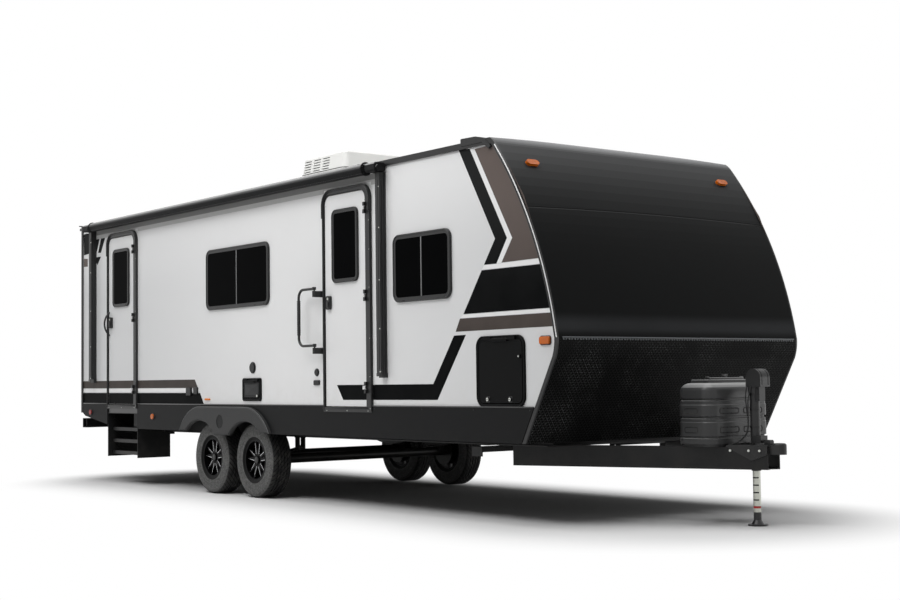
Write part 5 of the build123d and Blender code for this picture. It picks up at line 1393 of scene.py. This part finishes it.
def makeLamps(look):
    bases, rims, reverse = bmesh.new(), bmesh.new(), bmesh.new()
    proud, radius = look["baseProud"], look["radius"] + look["baseGrow"]
    for side, _ in sides:
        y = side * look["baseY"]
        for behind, z in look["skirt"]:
            start, end = (fx(behind), y, z), (fx(behind), y + side * proud, z)
            addRod(bases, start, end, radius, 32, bevel=0.001)
        behind, z, long, high = look["nose"]
        span = (fx(behind) - long / 2, fx(behind) + long / 2, z - high / 2, z + high / 2)
        span = insetSpan(span, -look["noseGrow"])
        addPlate(bases, span, 0.018, side * wallY, side * (wallY + proud), bevel=0.001)
    finished(bases, "lampBases", gasket, slotName="black_trim")
    wide, high = look["rimHalf"]
    half, (down, up) = look["reverseHalf"], look["reverseDrop"]
    for y, z in look["tail"]:
        span = (-y - wide, -y + wide, z - high, z + high)
        x = look["rearX"]
        addPlate(rims, span, 0.036, x, x - look["rimProud"], 0.0, 0.003, turnToRear)
        span = (-y - half, -y + half, z - down, z - up)
        x = look["lensX"]
        addPlate(reverse, span, 0.012, x, x - look["lensProud"], 0.0, 0.0006, turnToRear)
    finished(rims, "tailLampRims", "black_trim")
    clear = lens("clearLens", (0.75, 0.75, 0.74))
    finished(reverse, "reverseLenses", clear, slotName="roof_plastic")


makeLamps(lampLook)
print("lamps dressed")

# rear wall: blank plate in its holder, and the lens of the rear camera
rearLook = {
    "plate": (-0.30, 0.900, 0.330, 0.180), "plateX": -4.220, "plateIn": 0.004,
    "rimWide": 0.010, "rimProud": 0.0022, "blankIn": 0.012, "blankProud": 0.0012,
    "plateScrews": (0.11, 0.062),
    "camera": (-4.270, 0.0, 2.565), "lensDrop": 0.004, "lensIn": 0.003, "lensDepth": 0.0028,
    "lensRadius": 0.012,
}


def makeRear(look):
    y, z, wide, high = look["plate"]
    x, blank = look["plateX"], look["blankProud"]
    span = (-y - wide / 2, -y + wide / 2, z - high / 2, z + high / 2)
    span = insetSpan(span, look["plateIn"])
    form = bmesh.new()
    addPlate(form, span, 0.012, x, x - look["rimProud"], look["rimWide"], 0.0008, turnToRear)
    finished(form, "plateHolderRim", "black_trim")
    form = bmesh.new()
    inner = insetSpan(span, look["blankIn"])
    addPlate(form, inner, 0.006, x, x - blank, 0.0, 0.0004, turnToRear)
    finished(form, "blankPlate", vinyls["white"], slotName="body_white")
    form = bmesh.new()
    apart, rise = look["plateScrews"]
    for dy in (-apart, apart):
        addScrew(form, (x - blank, y + dy, z + rise), (-1, 0, 0), 0.005, 0.0025)
    finished(form, "plateScrews", "zinc")
    form = bmesh.new()
    x, y, z = look["camera"]
    spot = Vector((x + look["lensIn"], y, z - look["lensDrop"]))
    deep = Vector((-look["lensDepth"], 0, 0))
    addRod(form, spot, spot + deep, look["lensRadius"], 24, bevel=0.0008)
    finished(form, "rearCameraLens", "dark_glass")


makeRear(rearLook)
print("rear wall dressed")

# far side: slats in the two vented covers, and the flaps with their locks
farCovers = {
    # behind, foot z, length, slats, the cover's face
    "slatRows": [(5.950, 0.93, 0.32, 7, 1.235), (3.050, 1.00, 0.28, 5, 1.233)],
    "slatStep": 0.024, "slotHigh": 0.012, "slotProud": 0.0006,
    "slatOut": 0.003, "slatLean": -28, "slatHalf": (0.001, 0.006),
    "flaps": [(2.450, 1.150, 0.150), (7.330, 1.050, 0.150), (6.830, 1.200, 0.180)],
    "flapIn": 0.016, "flapY": (1.233, 1.2352), "lockY": 1.238, "lockRadius": 0.008,
}


def makeFarCovers(look):
    slats, dark, rims = bmesh.new(), bmesh.new(), bmesh.new()
    lean = quarterTurn(look["slatLean"], "X")
    thick, high = look["slatHalf"]
    for behind, z, long, count, face in look["slatRows"]:
        x, half = fx(behind), long / 2
        for i in range(count):
            foot = z + i * look["slatStep"]
            head = foot + look["slotHigh"]
            # a dark strip under each slat stands for the opening, a painted shade in the vent
            addBox(dark, (x - half, face, foot), (x + half, face + look["slotProud"], head))
            place = Matrix.Translation((x, face + look["slatOut"], head)) @ lean
            addBox(slats, (-half, -thick, -high), (half, thick, high), place=place)
    y0, y1 = look["flapY"]
    for behind, z, size in look["flaps"]:
        x, half = fx(behind), size / 2 - look["flapIn"]
        addPlate(rims, (x - half, x + half, z - half, z + half), 0.012, y0, y1, bevel=0.0012)
        z = z - half + look["flapIn"]
        addRod(dark, (x, y1, z), (x, look["lockY"], z), look["lockRadius"], 20)
    finished(dark, "farCoverSlotShadeAndLocks", "black_trim")
    finished(slats, "farCoverSlats", "roof_plastic")
    finished(rims, "farCoverFlaps", "roof_plastic")


makeFarCovers(farCovers)
print("far side dressed")

# roof: dark strips in the air conditioner's louvres as painted shade, a dark ring round its seam as
# painted shade, vent lids and sealant
roofLook = {
    "airConBehind": (3.870, 4.640), "halfWidth": 0.346, "seamZ": 2.985, "lean": 9.0,
    # louvres: start, length and pitch along the side, columns, rows, rise from row to row
    "louvres": (0.062, 0.118, 0.158, 3, 5, 0.025), "louvreFoot": 0.014, "louvreHigh": 0.0095,
    "louvreY": (0.001, 0.0012), "seamOut": 0.001, "seamCorner": 0.070, "seamHigh": (0.006, 0.0005),
    "vents": [(2.950, 0.0, 0.200), (6.400, 0.0, 0.200)], "ventTop": 2.847, "lidIn": 0.045,
    "lidHigh": (0.001, 0.006), "ribPitch": 0.055, "ribIn": 0.03, "ribHalf": 0.004,
    "ribHigh": (0.005, 0.0085), "sealOut": 0.006, "sealZ": 2.7575, "sealRadius": 0.006,
}


def makeRoof(look):
    first, long, pitch, columns, rows, rise = look["louvres"]
    lean = math.tan(math.radians(look["lean"]))
    x0, x1 = fx(look["airConBehind"][1]), fx(look["airConBehind"][0])
    seam, (sunk, proud) = look["seamZ"], look["louvreY"]
    # each louvre's opening gets a dark strip, a painted shade in the slot
    dark = bmesh.new()
    for row in range(rows):
        z = seam + look["louvreFoot"] + row * rise
        # the casing's side leans in as it goes up
        face = look["halfWidth"] - 0.006 - 0.016 - (z - seam) * lean
        for side, _ in sides:
            y0, y1 = sideways(side, face - sunk, face + proud)
            for column in range(columns):
                x = x0 + first + column * pitch
                low = (x + 0.0005, y0, z + 0.0005)
                addBox(dark, low, (x + long - 0.0005, y1, z + look["louvreHigh"]))
    finished(dark, "airConLouvreShade", "black_trim")
    # a dark ring round the casing's seam is a painted shade line
    form, out = bmesh.new(), look["seamOut"]
    wide, (down, up) = look["halfWidth"] + out, look["seamHigh"]
    span = (x0 - out, x1 + out, -wide, wide)
    corner = look["seamCorner"]
    addPlate(form, span, corner, -(seam - down), -(seam + up), 0.006, place=turnToRoof)
    finished(form, "airConSeamShade", gasket, slotName="black_trim")
    lids, beads = bmesh.new(), []
    z, (down, up), (low, high) = look["ventTop"], look["lidHigh"], look["ribHigh"]
    for behind, y, half in look["vents"]:
        x, size = fx(behind), half - look["lidIn"]
        place = Matrix.Translation((x, y, 0)) @ turnToRoof
        span = (-size, size, -size, size)
        addPlate(lids, span, 0.04, -(z - down), -(z + up), 0.0, 0.003, place)
        # stiffening ribs along the lid
        a, b = x - size + look["ribIn"], x + size - look["ribIn"]
        for i in range(-2, 3):
            at = y + i * look["ribPitch"]
            foot, head = (a, at - look["ribHalf"], z + low), (b, at + look["ribHalf"], z + high)
            addBox(lids, foot, head, 0.0015)
        edge = half + look["sealOut"]
        turns = ((-1, -1), (1, -1), (1, 1), (-1, 1))
        bead = [(x + s * edge, y + t * edge, look["sealZ"]) for s, t in turns]
        beads.append((bead, 0.03, True))
    finished(lids, "roofVentLids", tintedGlass("smokedLid"), slotName="dark_glass")
    beading("roofSealant", beads, look["sealRadius"], "roof_membrane")


makeRoof(roofLook)
print("roof dressed")

# gas bottle cover: its moulding, level by level from the foot, and the pressed-in channels
gasCover = {
    "x": 3.794, "half": (0.1635, 0.3135), "corner": 0.088, "cornerSteps": 9,
    # height, how far in from the outline
    "profile": [
        (0.537, 0.020), (0.556, 0.0), (0.592, 0.0), (0.596, 0.013), (0.605, 0.013), (0.609, 0.0),
        (0.700, 0.0), (0.706, 0.004), (0.726, 0.004), (0.730, 0.015), (0.740, 0.015), (0.744, 0.0),
        (0.818, 0.0), (0.824, 0.004), (0.848, 0.004), (0.852, 0.015), (0.863, 0.015),
        (0.867, 0.003),
        (0.920, 0.003), (0.940, 0.012), (0.957, 0.030), (0.968, 0.056),
        (0.9705, 0.078), (0.990, 0.082), (0.993, 0.087), (0.993, 0.104), (0.986, 0.107),
    ],
    "channels": [(0.628, 0.672), (0.758, 0.800)], "channelLip": 0.0075, "channelProud": 0.0012,
    "sideChannel": (-0.074, 0.052), "endChannels": (-0.218, 0.022), "endLong": 0.196,
    "channelCorner": 0.016,
}


def roundedLoop(form, half, corner, inset, z, steps):
    # one level of a box with round corners
    ring = []
    bend = max(corner - inset, 0.004)
    for cx, cy, first in ((1, 1, 0), (-1, 1, 90), (-1, -1, 180), (1, -1, 270)):
        for i in range(steps):
            t = math.radians(first + 90 * i / (steps - 1))
            x = cx * (half[0] - inset - bend) + bend * math.cos(t)
            y = cy * (half[1] - inset - bend) + bend * math.sin(t)
            ring.append(form.verts.new((x, y, z)))
    return [form.edges.new((ring[i - 1], ring[i])) for i in range(len(ring))]


def makeGasCover(look):
    form = bmesh.new()
    loops = [
        roundedLoop(form, look["half"], look["corner"], inset, z, look["cornerSteps"])
        for z, inset in look["profile"]
    ]
    for lower, upper in zip(loops, loops[1:]):
        bmesh.ops.bridge_loops(form, edges=lower + upper)
    for loop in (loops[0], loops[-1]):
        bmesh.ops.holes_fill(form, edges=loop, sides=0)
    bmesh.ops.translate(form, vec=(look["x"], 0, 0), verts=form.verts)
    piece = finished(form, "gasCoverMoulding", "cover_black")
    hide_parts("gas_bottle_cover")
    # lips of the pressed-in channels on the ends and the long sides, darker than the cover as
    # painted shade in the channels
    form = bmesh.new()
    x, (a, b) = look["x"], look["half"]
    across = quarterTurn(90, "Z")
    lip, proud, corner = look["channelLip"], look["channelProud"], look["channelCorner"]
    x0, x1 = (x + shift for shift in look["sideChannel"])
    for z0, z1 in look["channels"]:
        for s in (-1, 1):
            addPlate(form, (x0, x1, z0, z1), corner, s * b, s * (b + proud), lip, 0.0004)
            face = -(x + s * a)
            for y0 in look["endChannels"]:
                span = (y0, y0 + look["endLong"], z0, z1)
                addPlate(form, span, corner, face, face - s * proud, lip, 0.0004, across)
    finished(form, "gasCoverChannels", "tyre", slotName="cover_black")


makeGasCover(gasCover)
print("gas bottle cover made")

# tongue: lid and wing nut of the gas cover, jack wiring, clips and switches, bolts
tongueLook = {
    "coverX": 3.794, "coverTop": 0.993, "lid": (0.050, 0.170), "lidHeight": 0.014, "lidY": 0.02,
    "lidDeep": 0.009, "lugHalf": 0.014, "lugY": (-0.165, 0.185), "lugLong": 0.022,
    "nutRadius": 0.016, "wing": (0.004, -0.012, 0.052, 0.007, 0.024),
    "jackX": 4.081, "tubeRadius": 0.033, "clipZ": (0.66, 0.78, 0.88), "clipHigh": 0.014,
    # each wire from the jack's head to the A-frame, as (ahead of the jack, y, z)
    "wires": [
        [
            (-0.02, -0.052, 0.945), (-0.03, -0.062, 0.90), (-0.042, -0.040, 0.80),
            (-0.042, -0.020, 0.70), (-0.045, -0.030, 0.62), (-0.07, -0.07, 0.575),
            (-0.10, -0.12, 0.553),
        ],
        [
            (0.01, -0.052, 0.945), (0.0, -0.066, 0.88), (-0.026, -0.044, 0.78),
            (-0.03, -0.034, 0.68), (-0.04, -0.055, 0.60), (-0.09, -0.10, 0.553),
        ],
        [
            (-0.02, 0.052, 0.945), (-0.03, 0.062, 0.88), (-0.04, 0.030, 0.76),
            (-0.04, 0.025, 0.66), (-0.06, 0.05, 0.58), (-0.10, 0.10, 0.553),
        ],
    ],
    "wireRadius": 0.0042, "plateTop": 0.548, "plateBolts": 3, "plateBoltsAt": 0.060,
    "boltRadius": 0.009, "boltHigh": 0.008, "beamBolts": (-0.545, -0.665, -0.735),
    # the A-frame beam's outer face: half width at its head, slope, bolt height, way it faces
    "beamFace": (0.062, 0.406, 0.512), "beamOut": (0.376, 0.927), "beamHead": 0.779,
    "beamWall": 0.0115,
    "switchY": (-0.022, 0.0, 0.022), "switchX": (4.130, 4.134), "switchZ": 0.985,
    "switchRadius": 0.006,
}


def makeTongue(look):
    x, y, z = look["coverX"], look["lidY"], look["coverTop"]
    along, across = look["lid"]
    top = z + look["lidHeight"]
    form = bmesh.new()
    place = Matrix.Translation((x, y, 0)) @ turnToRoof
    span = (-along, along, -across, across)
    addPlate(form, span, 0.045, -(z - look["lidDeep"]), -top, 0.0, 0.006, place)
    half = look["lugHalf"]
    for y0 in look["lugY"]:
        y1 = y0 + look["lugLong"]
        addBox(form, (x - half, y0, z - 0.002), (x + half, y1, top + 0.006), 0.004)
    finished(form, "gasCoverHatch", "cover_black")
    form = bmesh.new()
    half, y0, y1, foot, head = look["wing"]
    addRod(form, (x, y, top), (x, y, top + 0.008), look["nutRadius"], 24, bevel=0.002)
    addBox(form, (x - half, y0, top + foot), (x + half, y1, top + head), 0.003)
    finished(form, "gasCoverWingNut", "handle_black")
    # wires clipped to the jack's tube
    x, radius = look["jackX"], look["tubeRadius"]
    lines = [[(x + dx, y, z) for dx, y, z in wire] for wire in look["wires"]]
    tube("jackWiring", lines, look["wireRadius"], gasket, slotName="handle_black")
    form = bmesh.new()
    for z in look["clipZ"]:
        addRing(form, (x, 0, z), radius + 0.0002, radius + 0.0034, look["clipHigh"])
    finished(form, "jackClips", "handle_black")
    # hexagon bolts in the jack's plate and through the beams into the coupler
    form = bmesh.new()
    radius, high, out = look["boltRadius"], look["boltHigh"], look["plateBoltsAt"]
    for i in range(look["plateBolts"]):
        t = math.radians(60 + 120 * i)
        spot = Vector((x + out * math.cos(t), out * math.sin(t), look["plateTop"]))
        addRod(form, spot, spot + Vector((0, 0, high)), radius, 6)
    start, slope, z = look["beamFace"]
    for side, _ in sides:
        out = Vector((look["beamOut"][0], side * look["beamOut"][1], 0.0))
        for behind in look["beamBolts"]:
            y = side * (start + (look["beamHead"] + behind) * slope + look["beamWall"])
            spot = Vector((fx(behind), y, z))
            addRod(form, spot, spot + out * high, radius, 6)
    finished(form, "tongueBolts", "zinc")
    form = bmesh.new()
    back, front = look["switchX"]
    for y in look["switchY"]:
        start, end = (back, y, look["switchZ"]), (front, y, look["switchZ"])
        addRod(form, start, end, look["switchRadius"], 16, bevel=0.0008)
    finished(form, "jackSwitches", "red")


makeTongue(tongueLook)
print("tongue dressed")

# stage, lamps and camera; the floor turns plain white where it is far from the caravan
stageLook = {
    "floor": 0.74, "floorSize": 120.0, "halfLength": 3.3, "shift": 0.2,
    "clearFrom": 1.1, "clearTo": 2.15, "worldLight": 0.15,
    # where each lamp stands, what it looks at, its size in metres and its power in watts
    "lamps": {
        "topLight": ((0.5, -1.0, 9.0), (0, 0, 1), (12.0, 7.0), 800.0),
        "keyLight": ((1.0, -7.6, 9.2), (-0.3, 0, 1.6), (11.0, 3.6), 640.0),
        "noseLight": ((9.5, 7.0, 1.25), (3.4, 0.4, 1.3), (2.4, 1.2), 60.0),
    },
}
white = (1.0, 1.0, 1.0, 1.0)


def stageFloor():
    form = bmesh.new()
    bmesh.ops.create_grid(form, x_segments=1, y_segments=1, size=stageLook["floorSize"])
    mesh = bpy.data.meshes.new("stageFloor")
    form.to_mesh(mesh)
    form.free()
    floor = bpy.data.objects.new("stageFloor", mesh)
    scene.collection.objects.link(floor)
    material = bpy.data.materials.new("stageFloor")
    material.use_nodes = True
    look = Look(material.node_tree)
    pale = look.node("ShaderNodeBsdfDiffuse", sockets={0: (stageLook["floor"],) * 3 + (1.0,)})
    glow = look.node("ShaderNodeEmission", sockets={0: white})
    x, y = look.xyz()[:2]
    along = (abs(x) - stageLook["halfLength"]).larger(0.0)
    across = y + stageLook["shift"]
    far = (along * along + across * across).power(0.5)
    clear = far.rise(stageLook["clearFrom"], stageLook["clearTo"]) * look.seen()
    surface = look.node("ShaderNodeMixShader", sockets={0: clear, 1: pale, 2: glow})
    look.node("ShaderNodeOutputMaterial", sockets={0: surface})
    mesh.materials.append(material)


def stageWorld():
    world = bpy.data.worlds.new("studio")
    scene.world = world
    world.use_nodes = True
    look = Look(world.node_tree)
    # a dim light on the caravan, and plain white behind it
    light = look.node("ShaderNodeBackground", sockets={0: white, 1: stageLook["worldLight"]})
    shown = look.node("ShaderNodeBackground", sockets={0: white, 1: 1.0})
    sky = look.node("ShaderNodeMixShader", sockets={0: look.seen(), 1: light, 2: shown})
    look.node("ShaderNodeOutputWorld", sockets={0: sky})


def softLamp(name, spot, target, size, energy):
    data = bpy.data.lights.new(name, "AREA")
    data.shape = "RECTANGLE"
    data.size, data.size_y = size
    data.energy = energy
    lamp = bpy.data.objects.new(name, data)
    scene.collection.objects.link(lamp)
    lamp.location = spot
    lamp.rotation_euler = (Vector(target) - Vector(spot)).to_track_quat("-Z", "Y").to_euler()


cameraView = {
    "spot": (10.774, -7.777, 1.008), "turn": 52.067, "rise": 3.288, "roll": -0.77,
    "lens": 58.89, "shift": (-0.00778, -0.0042), "sensor": 36.0, "reach": 500.0,
}


def studioCamera():
    turn, rise, roll = (math.radians(cameraView[k]) for k in ("turn", "rise", "roll"))
    level = math.cos(rise)
    ahead = Vector((-math.sin(turn) * level, math.cos(turn) * level, math.sin(rise)))
    right = Vector((math.cos(turn), math.sin(turn), 0.0))
    up = right.cross(ahead)
    right, up = (
        math.cos(roll) * right + math.sin(roll) * up,
        -math.sin(roll) * right + math.cos(roll) * up,
    )
    data = bpy.data.cameras.new("studioCamera")
    data.sensor_width = cameraView["sensor"]
    data.lens = cameraView["lens"]
    data.shift_x, data.shift_y = cameraView["shift"]
    data.clip_end = cameraView["reach"]
    camera = bpy.data.objects.new("studioCamera", data)
    scene.collection.objects.link(camera)
    facing = Matrix((right, up, -ahead)).transposed().to_4x4()
    camera.matrix_world = Matrix.Translation(cameraView["spot"]) @ facing
    scene.camera = camera


stageFloor()
stageWorld()
for name, (spot, target, size, energy) in stageLook["lamps"].items():
    softLamp(name, spot, target, size, energy)
studioCamera()
scene.view_settings.view_transform = "Standard"
print("stage, lamps and camera set")
